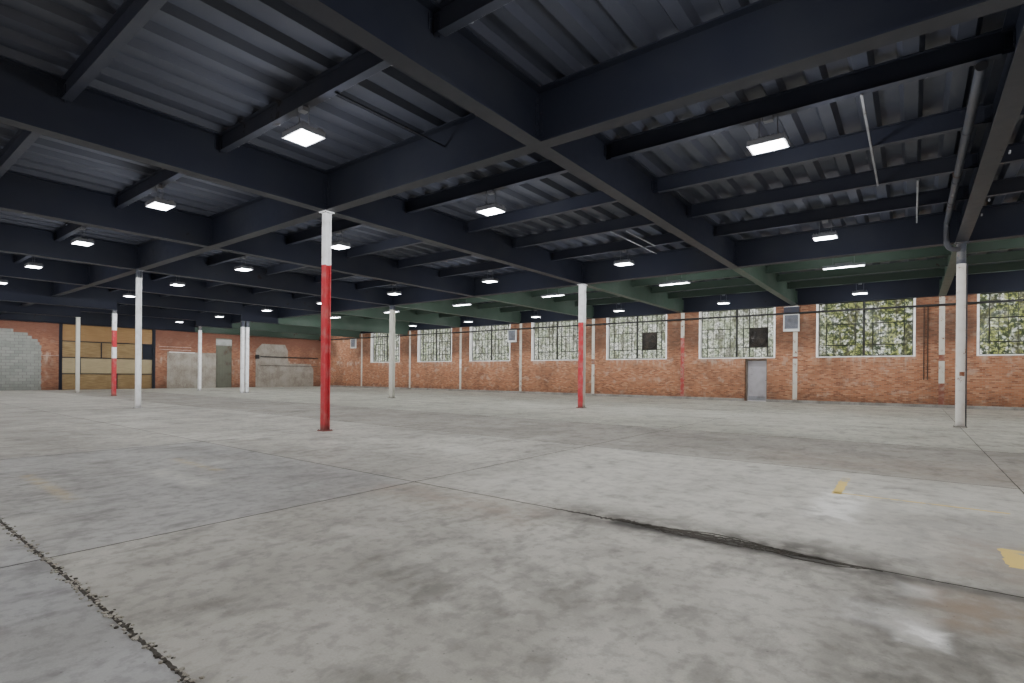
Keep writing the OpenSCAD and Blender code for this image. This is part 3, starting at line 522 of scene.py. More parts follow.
floorLook = {
    "dark": (0.19, 0.18, 0.16), "mid": (0.375, 0.36, 0.318), "pale": (0.48, 0.463, 0.412),
    "stain": (0.07, 0.066, 0.06), "rust": (0.27, 0.205, 0.15), "dust": (0.62, 0.605, 0.55),
    "tar": (0.03, 0.028, 0.026), "yellow": (0.62, 0.43, 0.1), "lime": (0.9, 0.89, 0.86),
    "blue": (0.31, 0.318, 0.335),
    "brown": (0.19, 0.17, 0.145), "green": (0.46, 0.47, 0.375),
    # Tone of each cast strip: low x, high x, low y, high y, colour, amount
    "strips": [(-14.2, 14.2, -2.16, 0.0, "brown", 0.42), (-14.2, 14.2, 0.0, 9.2, "green", 0.35),
               (-14.2, 14.2, -9.2, -6.19, "blue", 0.6), (4.9, 8.0, -6.19, -4.4, "blue", 0.4),
               (-14.2, 4.9, -6.19, -4.4, "brown", 0.1), (11.05, 14.2, -6.19, -2.16, "brown", 0.2)],
    # Marks: low x, high x, low y, high y, edge softness, colour, amount
    "marks": [(8.2, 13.6, -4.25, -2.16, 0.25, "dust", 0.5), (3.0, 9.5, 1.6, 4.2, 0.9, "dust", 0.3),
              (-9.0, 4.0, 4.5, 9.0, 1.2, "stain", 0.2),
              (5.5, 7.9, -6.1, -5.05, 0.3, "stain", 0.16), (5.4, 7.7, -4.85, -4.3, 0.22, "stain", 0.3),
              (6.0, 7.6, -4.3, -3.6, 0.35, "stain", 0.26), (2.2, 5.0, -5.5, -4.9, 0.3, "stain", 0.3),
              (7.9, 9.1, -4.75, -4.45, 0.16, "rust", 0.45), (6.3, 7.15, -5.36, -5.2, 0.05, "dust", 0.45),
              (9.0, 9.7, -5.75, -5.05, 0.22, "stain", 0.34), (9.6, 10.15, -5.4, -5.05, 0.16, "stain", 0.26),
              (9.1, 10.5, -4.55, -4.22, 0.1, "stain", 0.62), (9.4, 10.32, -4.47, -4.37, 0.03, "tar", 0.85),
              (9.85, 10.25, -4.38, -4.28, 0.05, "stain", 0.6),
              (10.38, 11.2, -4.33, -3.3, 0.16, "stain", 0.34), (10.62, 11.2, -4.3, -3.7, 0.1, "rust", 0.4),
              (10.34, 11.6, -5.9, -4.37, 0.1, "stain", 0.52), (10.55, 11.0, -4.8, -4.48, 0.07, "rust", 0.75),
              (10.4, 11.2, -4.46, -4.39, 0.03, "tar", 0.45),
              (10.36, 10.56, -4.9, -4.76, 0.05, "lime", 0.5), (10.5, 10.59, -4.97, -4.86, 0.03, "lime", 0.95),
              (10.5, 10.58, -4.6, -4.5, 0.04, "lime", 0.45), (10.1, 10.3, -3.75, -2.95, 0.06, "lime", 0.6),
              (5.9, 7.0, -5.9, -5.84, 0.03, "yellow", 0.25), (5.9, 6.7, -5.03, -4.97, 0.03, "yellow", 0.25),
              (9.5, 12.5, -2.1, -1.2, 0.35, "rust", 0.3)],
}


def makeFloor():
    look = floorLook
    material, tree, shader = newMaterial("worn concrete", 0.6)
    source = objectPlace(tree)
    clouds = cloudMask(tree, Scale=0.55, Low=0.36, High=0.64, Detail=4.0)
    patches = cloudMask(tree, Scale=2.3, Low=0.40, High=0.64, Detail=5.0, Seed=(3, 8, 1))
    body = mixColor(tree, clouds, look["mid"], look["pale"])
    for x0, x1, y0, y1, shade, amount in look["strips"]:
        body = mixColor(tree, patchMask(tree, source, (x0, y0), (x1, y1), 0.004, amount), body, look[shade])
    body = layer(tree, body, look["dark"], patches, 0.34)
    smudge = cloudMask(tree, Scale=5.5, Low=0.5, High=0.66, Stretch=(1.5, 0.7, 1), Seed=(6, 3, 9), Detail=7.0)
    body = layer(tree, body, look["stain"], smudge, 0.4)
    mottle = cloudMask(tree, Scale=19.0, Low=0.46, High=0.64, Detail=5.0, Seed=(8, 8, 2))
    body = layer(tree, body, look["stain"], mottle, 0.3)
    wiped = cloudMask(tree, Scale=1.5, Low=0.57, High=0.74, Seed=(9, 2, 4), Detail=6.0)
    body = layer(tree, body, look["dust"], wiped, 0.4)
    # Marks at their own places, broken up by noise
    ragged = useGroup(tree, warp, Scale=5.0, Push=0.16, Detail=4.0)["Place"]
    crisp = useGroup(tree, warp, Scale=16.0, Push=0.035, Detail=3.0)["Place"]
    thin = cloudMask(tree, Scale=9.0, Low=0.36, High=0.60, Detail=4.0, Seed=(2, 5, 8))
    worn = maths(tree, "MULTIPLY_ADD", thin, 0.75, 0.25)
    for x0, x1, y0, y1, soft, shade, amount in look["marks"]:
        place = crisp if soft < 0.1 else ragged
        inside = patchMask(tree, place, (x0, y0), (x1, y1), soft, amount)
        if shade != "tar":
            inside = product(tree, inside, worn)
        body = mixColor(tree, inside, body, look[shade])
    grain = useGroup(tree, blotches, Scale=160.0, Low=0.3, High=0.72, Detail=4.0)
    body = layer(tree, body, look["stain"], grain["Mask"], 0.14)
    specks = addNode(tree, "ShaderNodeTexVoronoi", {"Vector": source, "Scale": 22.0}).outputs["Distance"]
    speck = spread(tree, specks, 0.045, 0.085, 1.0, 0.0)
    body = layer(tree, body, look["stain"], speck, 0.5)
    rough = maths(tree, "ADD", maths(tree, "MULTIPLY_ADD", patches, 0.14, 0.46), product(tree, clouds, 0.1))
    connect(tree, shader, body, rough, (grain["Raw"], 0.35, 0.001))
    return material


def makeStone(name, body, dark, pale, reliefSize=60.0):
    # Cast stone and kerb concrete, streaked below its edges
    material, tree, shader = newMaterial(name, 0.85)
    cloud = cloudMask(tree, Scale=3.0, Low=0.35, High=0.7, Detail=4.0)
    color = mixColor(tree, cloud, body, dark)
    streak = cloudMask(tree, Scale=9.0, Low=0.5, High=0.72, Stretch=(1, 1, 0.12), Detail=3.0)
    color = layer(tree, color, dark, streak, 0.5)
    grain = useGroup(tree, blotches, Scale=reliefSize, Low=0.35, High=0.7, Detail=4.0)
    color = layer(tree, color, pale, grain["Mask"], 0.35)
    connect(tree, shader, color, relief=(grain["Raw"], 0.5, 0.004))
    return material


def makePaintedSteel(name, paint, under, chips, dirt=0.3, scale=20.0, grime=(0.07, 0.06, 0.05),
                     relief=0.0012):
    material, tree, shader = newMaterial(name, 0.5)
    coat = useGroup(tree, oldPaint, Paint=paint, Under=under, Chips=chips, Dirt=dirt, Scale=scale,
                    Grime=grime)
    connect(tree, shader, coat["Color"], coat["Roughness"], (coat["Relief"], 0.5, relief) if relief else None)
    return material


columnLook = {
    "white": (0.86, 0.865, 0.88), "cream": (0.52, 0.51, 0.45),
    "offWhite": (0.61, 0.59, 0.55),
    "red": (0.48, 0.04, 0.052), "brown": (0.2, 0.07, 0.045), "maroon": (0.33, 0.05, 0.045),
    "cap": (0.05, 0.056, 0.072), "worn": (0.42, 0.395, 0.34), "rust": (0.19, 0.065, 0.028),
}


def makeColumnPaint(name, base, zones, chips, dirt=0.3):
    # Zones of another paint over the base: low x, high x, low y, high y, low z, high z, colour
    look = columnLook
    material, tree, shader = newMaterial(name, 0.45)
    place = useGroup(tree, warp, Scale=26.0, Push=0.012)["Place"]
    paint = look[base]
    for x0, x1, y0, y1, z0, z1, shade in zones:
        paint = mixColor(tree, patchMask(tree, place, (x0, y0, z0), (x1, y1, z1), 0.002), paint, look[shade])
    coat = useGroup(tree, oldPaint, Paint=paint, Under=look["rust"], Chips=chips, Dirt=dirt, Scale=60.0,
                    Grime=look["worn"])
    foot = useGroup(tree, footGrime, Floor=floorTop, Reach=0.10)["Mask"]
    color = layer(tree, coat["Color"], (0.1, 0.085, 0.07), foot, 0.65)
    connect(tree, shader, color, coat["Roughness"], (coat["Relief"], 0.5, 0.0012))
    return material


def makeDeck(name, paint, pale, dust):
    material, tree, shader = newMaterial(name, 0.55)
    coat = useGroup(tree, oldPaint, Paint=paint, Under=pale, Chips=0.05, Dirt=0.6, Scale=5.0, Grime=dust)
    runs = cloudMask(tree, Scale=5.0, Low=0.5, High=0.72, Stretch=(1, 0.12, 1), Detail=3.0)
    color = layer(tree, coat["Color"], pale, runs, 0.35)
    connect(tree, shader, color, coat["Roughness"])
    return material


def makeWhitewash(name, paint, under):
    material, tree, shader = newMaterial(name, 0.8)
    coat = useGroup(tree, oldPaint, Paint=paint, Under=under, Chips=0.20, Dirt=0.30, Scale=50.0,
                    Grime=(0.52, 0.5, 0.42))
    runs = cloudMask(tree, Scale=14.0, Low=0.52, High=0.74, Stretch=(1, 1, 0.1), Detail=3.0)
    color = layer(tree, coat["Color"], (0.38, 0.35, 0.28), runs, 0.25)
    connect(tree, shader, color, relief=(coat["Relief"], 0.6, 0.0015))
    return material


glassLook = {
    "clear": (1.0, 1.0, 0.95), "milky": (0.74, 0.8, 0.66), "deep": (0.05, 0.068, 0.038),
    "leaf": (0.37, 0.4, 0.11), "bark": (0.11, 0.1, 0.065), "grey": (0.27, 0.305, 0.22),
    "paneWide": 0.158, "paneHigh": 0.271, "roughness": 0.1, "greenFrom": 8.2,
}


def makeGlass():
    # Old rolled glass, mottled pane by pane; clearer and greener at the right end of the hall
    look = glassLook
    material, tree, shader = newMaterial("old glass", look["roughness"], Transmission_Weight=1.0, IOR=1.10)
    source = objectPlace(tree)
    plane = useGroup(tree, wallPlane)["Plane"]
    cells = vectors(tree, "DIVIDE", plane, (look["paneWide"], look["paneHigh"], 1))
    cells = vectors(tree, "FLOOR", cells)
    tone = addNode(tree, "ShaderNodeTexWhiteNoise", {"Vector": cells}, noise_dimensions="2D").outputs[0]
    place = axes(tree, source)
    green = spread(tree, place[0], look["greenFrom"], look["greenFrom"] + 0.8)
    color = mixColor(tree, spread(tree, tone, 0.3, 1.0), look["clear"], look["milky"])
    leaf = cloudMask(tree, Scale=6.5, Low=0.38, High=0.56, Detail=6.0, Seed=(5, 0, 2))
    color = layer(tree, color, look["leaf"], leaf, maths(tree, "MULTIPLY_ADD", green, 0.62, 0.3))
    mottle = cloudMask(tree, Scale=15.0, Low=0.46, High=0.60, Detail=6.0)
    shade = mixColor(tree, green, look["grey"], look["deep"])
    color = layer(tree, color, shade, mottle, maths(tree, "MULTIPLY_ADD", green, 0.3, 0.64))
    dark = cloudMask(tree, Scale=19.0, Low=0.48, High=0.57, Detail=4.0, Seed=(8, 3, 1))
    color = layer(tree, color, look["deep"], dark, maths(tree, "MULTIPLY_ADD", green, 0.32, 0.56))
    stems = cloudMask(tree, Scale=6.0, Low=0.54, High=0.60, Stretch=(1.0, 1.0, 0.22), Detail=3.0,
                      Seed=(3, 9, 4))
    color = layer(tree, color, look["bark"], stems, 0.55)
    connect(tree, shader, color)
    return material


woodLook = {"rowHigh": 0.6, "sheetWide": 0.95, "topWarm": (0.245, 0.136, 0.058),
            "cream": (0.381, 0.34, 0.218)}


def makeWood(name, pale, dark):
    # Sawn boards; the grain runs along the board, and each sheet has its own tone
    look = woodLook
    material, tree, shader = newMaterial(name, 0.75)
    plane = useGroup(tree, wallPlane)["Plane"]
    lower = vectors(tree, "SUBTRACT", plane, (0, floorTop, 0))
    stretched = vectors(tree, "MULTIPLY", plane, (3.0, 60.0, 1))
    grain = addNode(tree, "ShaderNodeTexNoise", {"Vector": stretched, "Scale": 1.0, "Detail": 4.0,
                                                 "Distortion": 0.6}).outputs[0]
    cloud = cloudMask(tree, Scale=2.4, Low=0.35, High=0.7, Detail=4.0)
    color = mixColor(tree, spread(tree, grain, 0.3, 0.7), pale, dark)
    color = layer(tree, color, dark, cloud, 0.45)
    cells = vectors(tree, "DIVIDE", lower, (look["sheetWide"], look["rowHigh"], 1))
    cells = vectors(tree, "FLOOR", cells)
    tone = addNode(tree, "ShaderNodeTexWhiteNoise", {"Vector": cells}, noise_dimensions="2D").outputs[0]
    color = layer(tree, color, dark, tone, 0.45)
    height = axes(tree, lower)[1]
    top = maths(tree, "GREATER_THAN", height, look["rowHigh"] * 3 - 0.02)
    color = layer(tree, color, look["topWarm"], top, 0.6)
    second = product(tree, maths(tree, "GREATER_THAN", height, look["rowHigh"] - 0.02),
                     maths(tree, "LESS_THAN", height, look["rowHigh"] * 2 - 0.02))
    color = layer(tree, color, look["cream"], second, 0.5)
    connect(tree, shader, color, relief=(grain, 0.4, 0.002))
    return material


feltLook = {"body": (0.075, 0.075, 0.077), "pale": (0.165, 0.162, 0.152), "wet": (0.035, 0.035, 0.037),
            "seam": (0.03, 0.03, 0.032), "roll": 0.5, "grit": (0.24, 0.235, 0.22)}


def makeFelt():
    # Rolls of felt across the hall, each weathered a little differently
    look = feltLook
    material, tree, shader = newMaterial("roofing felt", 0.9)
    source = objectPlace(tree)
    place = axes(tree, source)
    along = maths(tree, "DIVIDE", maths(tree, "SUBTRACT", place[0], innerLow.x), look["roll"])
    tone = addNode(tree, "ShaderNodeTexWhiteNoise", {"W": maths(tree, "FLOOR", along)},
                   noise_dimensions="1D").outputs[0]
    cloud = cloudMask(tree, Scale=0.7, Low=0.38, High=0.66, Detail=4.0)
    color = mixColor(tree, maths(tree, "MULTIPLY_ADD", tone, 0.45, product(tree, cloud, 0.4)),
                     look["body"], look["pale"])
    pool = cloudMask(tree, Scale=0.35, Low=0.55, High=0.66, Detail=4.0, Seed=(12, 4, 0))
    color = layer(tree, color, look["wet"], pool, 0.6)
    rim = cloudMask(tree, Scale=0.35, Low=0.515, High=0.55, Detail=4.0, Seed=(12, 4, 0))
    ring = product(tree, maths(tree, "SUBTRACT", rim, pool, clamp=True), 0.45)
    color = mixColor(tree, ring, color, look["grit"])
    seam = spread(tree, maths(tree, "PINGPONG", along, 0.5), 0.0, 0.05, 1.0, 0.0)
    color = layer(tree, color, look["seam"], seam, 0.7)
    grit = useGroup(tree, blotches, Scale=220.0, Low=0.4, High=0.65)
    color = layer(tree, color, look["grit"], grit["Mask"], 0.25)
    connect(tree, shader, color, relief=(grit["Raw"], 0.5, 0.003))
    return material


def makeLens(name, strength):
    material = newMaterial(name, 0.4, Base_Color=(0.9, 0.9, 0.92), Emission_Color=(0.96, 0.98, 1.0),
                           Emission_Strength=strength)[0]
    material.cycles.emission_sampling = "NONE"
    return material


steelDark = makePaintedSteel("dark steel paint", (0.012, 0.014, 0.022), (0.021, 0.017, 0.016), 0.1,
                             0.45, 9.0, (0.023, 0.025, 0.03), relief=0)
joistPaint = makePaintedSteel("joist paint", (0.021, 0.024, 0.037), (0.035, 0.029, 0.027), 0.1,
                             0.45, 9.0, (0.039, 0.042, 0.05), relief=0)
# Green paint of the window span's steel, made lighter than the dark steel as painted daylight from the
# windows
greenSteelAndDaylight = makePaintedSteel("grey-green steel paint with painted daylight", (0.047, 0.071, 0.055), (0.06, 0.045, 0.036), 0.12,
                              0.4, 9.0, (0.09, 0.107, 0.094), relief=0)
steelWindow = makePaintedSteel("window steel paint", (0.024, 0.026, 0.024), (0.07, 0.042, 0.028), 0.2,
                               0.25, 60.0)
steelFan = makePaintedSteel("fan steel", (0.02, 0.018, 0.016), (0.09, 0.065, 0.045), 0.35, 0.5, 50.0)
steelPipe = makePaintedSteel("pipe paint", (0.048, 0.053, 0.066), (0.06, 0.045, 0.038), 0.15, 0.4, 30.0)
steelDarkPipe = makePaintedSteel("dark pipe paint", (0.024, 0.024, 0.026), (0.06, 0.04, 0.03), 0.15,
                                 0.3, 30.0)
steelConduit = makePaintedSteel("conduit zinc", (0.26, 0.27, 0.29), (0.14, 0.13, 0.12), 0.2, 0.5, 40.0)
steelBrownPipe = makePaintedSteel("brown pipe paint", (0.07, 0.04, 0.03), (0.04, 0.025, 0.02), 0.2, 0.4,
                                  40.0)
pinkPipe = makePaintedSteel("faded pipe paint", (0.48, 0.33, 0.29), (0.2, 0.12, 0.09), 0.2, 0.4, 40.0)
steelRail = makePaintedSteel("rail paint", (0.21, 0.215, 0.225), (0.1, 0.095, 0.09), 0.2, 0.4, 40.0)
doorPaint = makePaintedSteel("grey door paint", (0.414, 0.4, 0.425), (0.148, 0.133, 0.122), 0.12, 0.3, 40.0,
                             (0.222, 0.211, 0.207))
frameBrown = makePaintedSteel("door frame paint", (0.2, 0.17, 0.14), (0.09, 0.055, 0.035), 0.3, 0.4, 40.0)
doorOld = makePaintedSteel("old door paint", (0.115, 0.118, 0.092), (0.096, 0.07, 0.048), 0.35, 0.5, 22.0)
panelPale = makePaintedSteel("pale panel paint", (0.318, 0.326, 0.311), (0.185, 0.17, 0.148), 0.2, 0.4, 30.0)
lampWhite = makePaintedSteel("lamp enamel", (0.16, 0.165, 0.18), (0.11, 0.105, 0.1), 0.05, 0.2, 14.0,
                             (0.1, 0.098, 0.095))
ventWhite = makePaintedSteel("ventilator paint", (0.595, 0.608, 0.586), (0.221, 0.17, 0.128), 0.15, 0.3, 40.0,
                             (0.34, 0.332, 0.297))
louvreBlue = makePaintedSteel("louvre paint", (0.045, 0.051, 0.075), (0.09, 0.072, 0.054), 0.2, 0.4, 40.0)
boltSteel = makePaintedSteel("bolt steel", (0.05, 0.054, 0.062), (0.11, 0.06, 0.035), 0.4, 0.4, 40.0)
brick = makeBrick()
block = makeBlock()
floorConcrete = makeFloor()
kerbConcrete = makeStone("kerb concrete", (0.281, 0.27, 0.246), (0.128, 0.119, 0.106), (0.391, 0.378, 0.348))
copingStone = makeStone("cast stone", (0.36, 0.348, 0.315), (0.13, 0.125, 0.112), (0.47, 0.455, 0.415))
render = makeStone("cement render", (0.293, 0.266, 0.223), (0.18, 0.15, 0.117), (0.4, 0.386, 0.353), 30.0)
deckPaint = makeDeck("deck paint", (0.034, 0.037, 0.05), (0.048, 0.051, 0.059), (0.041, 0.044, 0.055))
whitewash = makeWhitewash("whitewash", (0.86, 0.85, 0.83), (0.56, 0.4, 0.29))
glass = makeGlass()
boards = makeWood("sawn boards", (0.343, 0.254, 0.129), (0.165, 0.106, 0.05))
felt = makeFelt()
lens = makeLens("lamp lens", 14.0)
jointGrit = makeStone("joint grit", (0.055, 0.05, 0.043), (0.026, 0.024, 0.02), (0.12, 0.11, 0.095),
                      150.0)
stoneGrit = makeStone("loose grit", (0.3, 0.28, 0.24), (0.12, 0.11, 0.09), (0.56, 0.54, 0.48),
                      90.0)
floorYellow = makePaintedSteel("worn floor paint", (0.7, 0.52, 0.16), (0.4, 0.385, 0.345), 0.45, 0.25, 14.0,
                               (0.33, 0.3, 0.25), 0.0003)
leadGrey = makePaintedSteel("lead edge", (0.21, 0.215, 0.225), (0.12, 0.12, 0.12), 0.2, 0.4, 14.0)
whiteTrim = makePaintedSteel("white trim paint", (0.646, 0.646, 0.629), (0.255, 0.204, 0.162), 0.15, 0.3,
                             40.0, (0.383, 0.365, 0.323))

# Paint zones of the columns: low x, high x, low y, high y, low z, high z, colour
zonesRow1 = [(4.5, 5.4, -4, -2, 0, 2.07, "red"), (-1.6, -0.7, -4, -2, 2.56, 3, "cap")]
zonesRow2 = [(10.8, 11.4, 2, 4, 0, 2.4, "offWhite"), (10.8, 11.4, 2, 4, 2.4, 3, "cap"),
             (4.8, 5.1, 2.9, 3.2, 0, 1.9, "red"),
             (4.962, 5.1, 3.000, 3.2, 0, 1.9, "cream"), (-1.6, -0.7, 2, 4, 2.58, 3, "cap"),
             (-1.6, -0.7, 2, 4, 0, 2.58, "cream"), (11.04, 11.1, 2.98, 3.02, 0.82, 0.88, "rust")]
zonesPosts = [(-7.5, -7.0, -2, -1.5, 2.4, 3, "cap"), (-7.5, -7.0, -2, -1.5, 1.46, 1.93, "red"),
              (-7.5, -7.0, -2, -1.5, 0, 1.15, "red"), (-11, -10.4, -2, -1.5, 0, 3, "cream"),
              (-7.5, -7.0, 1.5, 2.2, 2.3, 3, "cap"), (-11, -10.4, 1.5, 2.2, 2.35, 3, "cap")]
zonesWall = [(10.9, 11.2, -10, 10, 0, 0.67, "brown"), (10.9, 11.2, -10, 10, 1.19, 1.34, "brown"),
             (7.9, 8.1, -10, 10, 1.28, 1.34, "brown"), (4.8, 5.1, -10, 10, 0, 1.95, "maroon"),
             (1.8, 2.0, -10, 10, 1.16, 1.34, "brown"), (-14, -1.0, -10, 10, 2.05, 2.5, "worn"),
             (-4.3, -4.0, -10, 10, 1.05, 1.4, "white")]
paintRow1 = makeColumnPaint("first row paint", "white", zonesRow1, 0.16)
paintRow2 = makeColumnPaint("second row paint", "white", zonesRow2, 0.18)
paintPosts = makeColumnPaint("post paint", "white", zonesPosts, 0.15)
paintWallColumns = makeColumnPaint("wall column paint", "cream", zonesWall, 0.3, 0.5)
print("materials ready:", len(bpy.data.materials))


nodeLooks = {
    "floor_slab": floorConcrete, "window_wall_left": brick, "window_wall_right": brick,
    "window_wall_over_door": brick, "near_wall": brick, "right_end_wall": brick, "far_end_wall": brick,
    "block_infill": block, "boarded_frame": steelDark, "opening_boards": boards, "closed_doorway": doorOld,
    "render_patches": render, "wall_columns": paintWallColumns, "kerbs": kerbConcrete,
    "window_linings": whitewash, "window_frames": steelWindow, "window_glass": glass, "fan_panels": steelFan,
    "near_window_linings": whitewash, "near_window_frames": steelWindow, "near_window_glass": glass,
    "end_window_linings": whitewash, "end_window_frames": steelWindow, "end_window_glass": glass,
    "door_frame": frameBrown, "door_leaf": doorPaint, "columns_row_1": paintRow1, "columns_row_2": paintRow2,
    "far_posts": paintPosts, "row_girders": steelDark, "edge_beams": steelDark,
    "near_cross_girders": steelDark, "middle_cross_girders": steelDark, "window_cross_girders": greenSteelAndDaylight,
    "near_joists": joistPaint, "middle_joists": joistPaint, "window_joists": greenSteelAndDaylight,
    "near_deck": deckPaint, "middle_deck": deckPaint, "window_deck": deckPaint, "roof_covering": felt,
    "coping": copingStone, "rainwater_pipe": steelPipe, "wall_pipe": steelDarkPipe,
    "wall_ventilators": ventWhite, "high_bay_lamps": lampWhite, "strip_lights": lampWhite,
}
for name, material in nodeLooks.items():
    mesh = nodes[name].data
    mesh.materials.clear()
    mesh.materials.append(material)
print("frame dressed")


# Camera: inside the near span, looking across the hall

cameraLook = {
    "place": (10.52, -6.688, 0.785),  # eye height 1.37 m at full size
    "turn": 37.28,                     # degrees left of the window wall's direction
    "roll": 0.49,
    "lens": 18.506, "shift": 0.0325,
}


def makeCamera():
    look = cameraLook
    data = bpy.data.cameras.new("hall view")
    data.lens = look["lens"]
    data.sensor_width = 36.0
    data.shift_y = look["shift"]
    data.clip_start = 0.05
    data.clip_end = 500.0
    camera = bpy.data.objects.new("hall view", data)
    bpy.context.scene.collection.objects.link(camera)
    turn = Matrix.Rotation(math.radians(look["turn"]), 4, "Z")
    level = Matrix.Rotation(math.radians(90), 4, "X")
    roll = Matrix.Rotation(math.radians(look["roll"]), 4, "Z")
    camera.matrix_world = Matrix.Translation(look["place"]) @ turn @ level @ roll
    bpy.context.scene.camera = camera


makeCamera()


# Lamps of the hall, the world and the sun

lightLook = {
    "highBay": 5.0, "strip": 6.0, "around": 68.0, "bounce": 340.0, "bounceTint": (0.78, 0.87, 1.0),
    "world": 0.75, "sun": 1.6, "ground": (0.8, 0.8, 0.79),
}


def addLamp(name, kind, place, power, **shape):
    data = bpy.data.lights.new(name, kind)
    for key, value in shape.items():
        setattr(data, key, value)
    data.energy = power
    data.color = (0.965, 0.98, 1.0)
    lamp = bpy.data.objects.new(name, data)
    bpy.context.scene.collection.objects.link(lamp)
    lamp.location = place
    lamp.visible_camera = False
    lamp.visible_glossy = False
    return lamp


def makeWorld():
    world = bpy.data.worlds.new("pale studio")
    bpy.context.scene.world = world
    world.use_nodes = True
    tree = world.node_tree
    tree.nodes.clear()
    light = addNode(tree, "ShaderNodeBackground",
                    {"Color": (0.95, 0.97, 1.0), "Strength": lightLook["world"]})
    seen = addNode(tree, "ShaderNodeBackground", {"Color": (0.96, 0.97, 0.96), "Strength": 1.0})
    rays = addNode(tree, "ShaderNodeLightPath").outputs
    pale = maths(tree, "MAXIMUM", rays["Is Camera Ray"], maths(
        tree, "MAXIMUM", rays["Is Glossy Ray"], rays["Is Transmission Ray"]))
    both = addNode(tree, "ShaderNodeMixShader", {0: pale, 1: light.outputs[0], 2: seen.outputs[0]})
    addNode(tree, "ShaderNodeOutputWorld", {"Surface": both.outputs[0]})


def makeSun():
    data = bpy.data.lights.new("soft sun", "SUN")
    data.energy = lightLook["sun"]
    data.angle = math.radians(30)
    sun = bpy.data.objects.new("soft sun", data)
    bpy.context.scene.collection.objects.link(sun)
    sun.rotation_euler = (math.radians(42), math.radians(8), math.radians(35))


def makeGround():
    mesh = bpy.data.meshes.new("ground")
    reach = 150.0
    corners = [(-reach, -reach), (reach, -reach), (reach, reach), (-reach, reach)]
    mesh.from_pydata([(x, y, -0.002) for x, y in corners], [], [(0, 1, 2, 3)])
    ground = bpy.data.objects.new("ground", mesh)
    bpy.context.scene.collection.objects.link(ground)
    mesh.materials.append(newMaterial("pale floor", 0.9, Base_Color=lightLook["ground"])[0])


makeWorld()
makeSun()
makeGround()
for kind, power in (("high_bay_lamps", lightLook["highBay"]), ("strip_lights", lightLook["strip"])):
    for number, box in enumerate(solidBoxes(kind)):
        size = box[1] - box[0]
        below = Vector((middle(box).x, middle(box).y, box[0].z - 0.022))
        addLamp(f"{kind} {number}", "AREA", below, power, shape="RECTANGLE", size=size.x * 0.9,
                size_y=size.y * 0.9)
        around = below - Vector((0, 0, 0.1))
        addLamp(f"{kind} around {number}", "POINT", around, lightLook["around"], shadow_soft_size=0.12)
bounce = addLamp("floor bounce", "AREA", (0, 0, 0.4), lightLook["bounce"], shape="RECTANGLE",
                 size=innerHigh.x - innerLow.x - 1, size_y=innerHigh.y - innerLow.y - 1)
bounce.rotation_euler = (math.pi, 0, 0)
bounce.data.color = lightLook["bounceTint"]
print("lights ready:", len(bpy.data.lights))


# Lamps: lenses, cooling fins, bolts and end caps

lampDetail = {"rim": 0.012, "recess": 0.008, "bodyHigh": 0.046, "fins": 9, "fin": 0.003, "finHigh": 0.022,
              "driverPart": 0.42, "endCap": 0.012}


def makeLampDetails():
    look = lampDetail
    lenses, fittings = Shape(), Shape()
    rim = look["rim"]
    for low, high in solidBoxes("high_bay_lamps"):
        lenses.box((low.x + rim, low.y + rim, low.z + 0.0005),
                   (high.x - rim, high.y - rim, low.z + look["recess"]))
        bodyTop = low.z + look["bodyHigh"]
        halfDriver = (high.y - low.y) * look["driverPart"] / 2
        mid = middle((low, high))
        for k in range(look["fins"]):
            x = low.x + rim + (high.x - low.x - 2 * rim) * k / (look["fins"] - 1)
            for y0, y1 in ((low.y + 0.012, mid.y - halfDriver), (mid.y + halfDriver, high.y - 0.012)):
                fittings.box((x - look["fin"] / 2, y0, bodyTop - 0.001),
                             (x + look["fin"] / 2, y1, bodyTop + look["finHigh"]))
        for x in (low.x + 0.03, high.x - 0.03):
            for y, side in ((low.y, -1), (high.y, 1)):
                fittings.bolt((x, y, low.z + 0.024), (0, side, 0), 0.005)
    for low, high in solidBoxes("strip_lights"):
        lenses.box((low.x + rim, low.y + rim, low.z + 0.0005),
                   (high.x - rim, high.y - rim, low.z + look["recess"]))
        for x0, x1 in ((low.x, low.x + look["endCap"]), (high.x - look["endCap"], high.x)):
            fittings.box((x0 - 0.002, low.y - 0.002, low.z + 0.001),
                         (x1 + 0.002, high.y + 0.002, low.z + 0.03))
    lenses.build("lampLenses", lens, "lamp_housing", bevel=0.002)
    fittings.build("lampFittings", lampWhite, "lamp_housing")


makeLampDetails()


# Windows: bars, putty, opening lights with their pivots and catches

windowDetail = {
    "frame": 0.018, "post": 0.052, "depth": 0.024, "glass": 0.004, "across": 6, "up": 5,
    "bar": 0.007, "putty": 0.005, "lightRim": 0.016, "lightProud": 0.007,
}


def windowPlaces(node):
    # Place, width and height of each window; its +Y points outwards
    places = []
    for low, high in solidBoxes(node):
        size = high - low
        mid = (low + high) / 2
        if size.x < size.y:
            turn, origin = Matrix.Rotation(-math.pi / 2, 4, "Z"), Vector((low.x, mid.y, low.z))
        elif mid.y > 0:
            turn, origin = Matrix(), Vector((mid.x, low.y, low.z))
        else:
            turn, origin = Matrix.Rotation(math.pi, 4, "Z"), Vector((mid.x, high.y, low.z))
        places.append((Matrix.Translation(origin) @ turn, max(size.x, size.y), size.z))
    return places


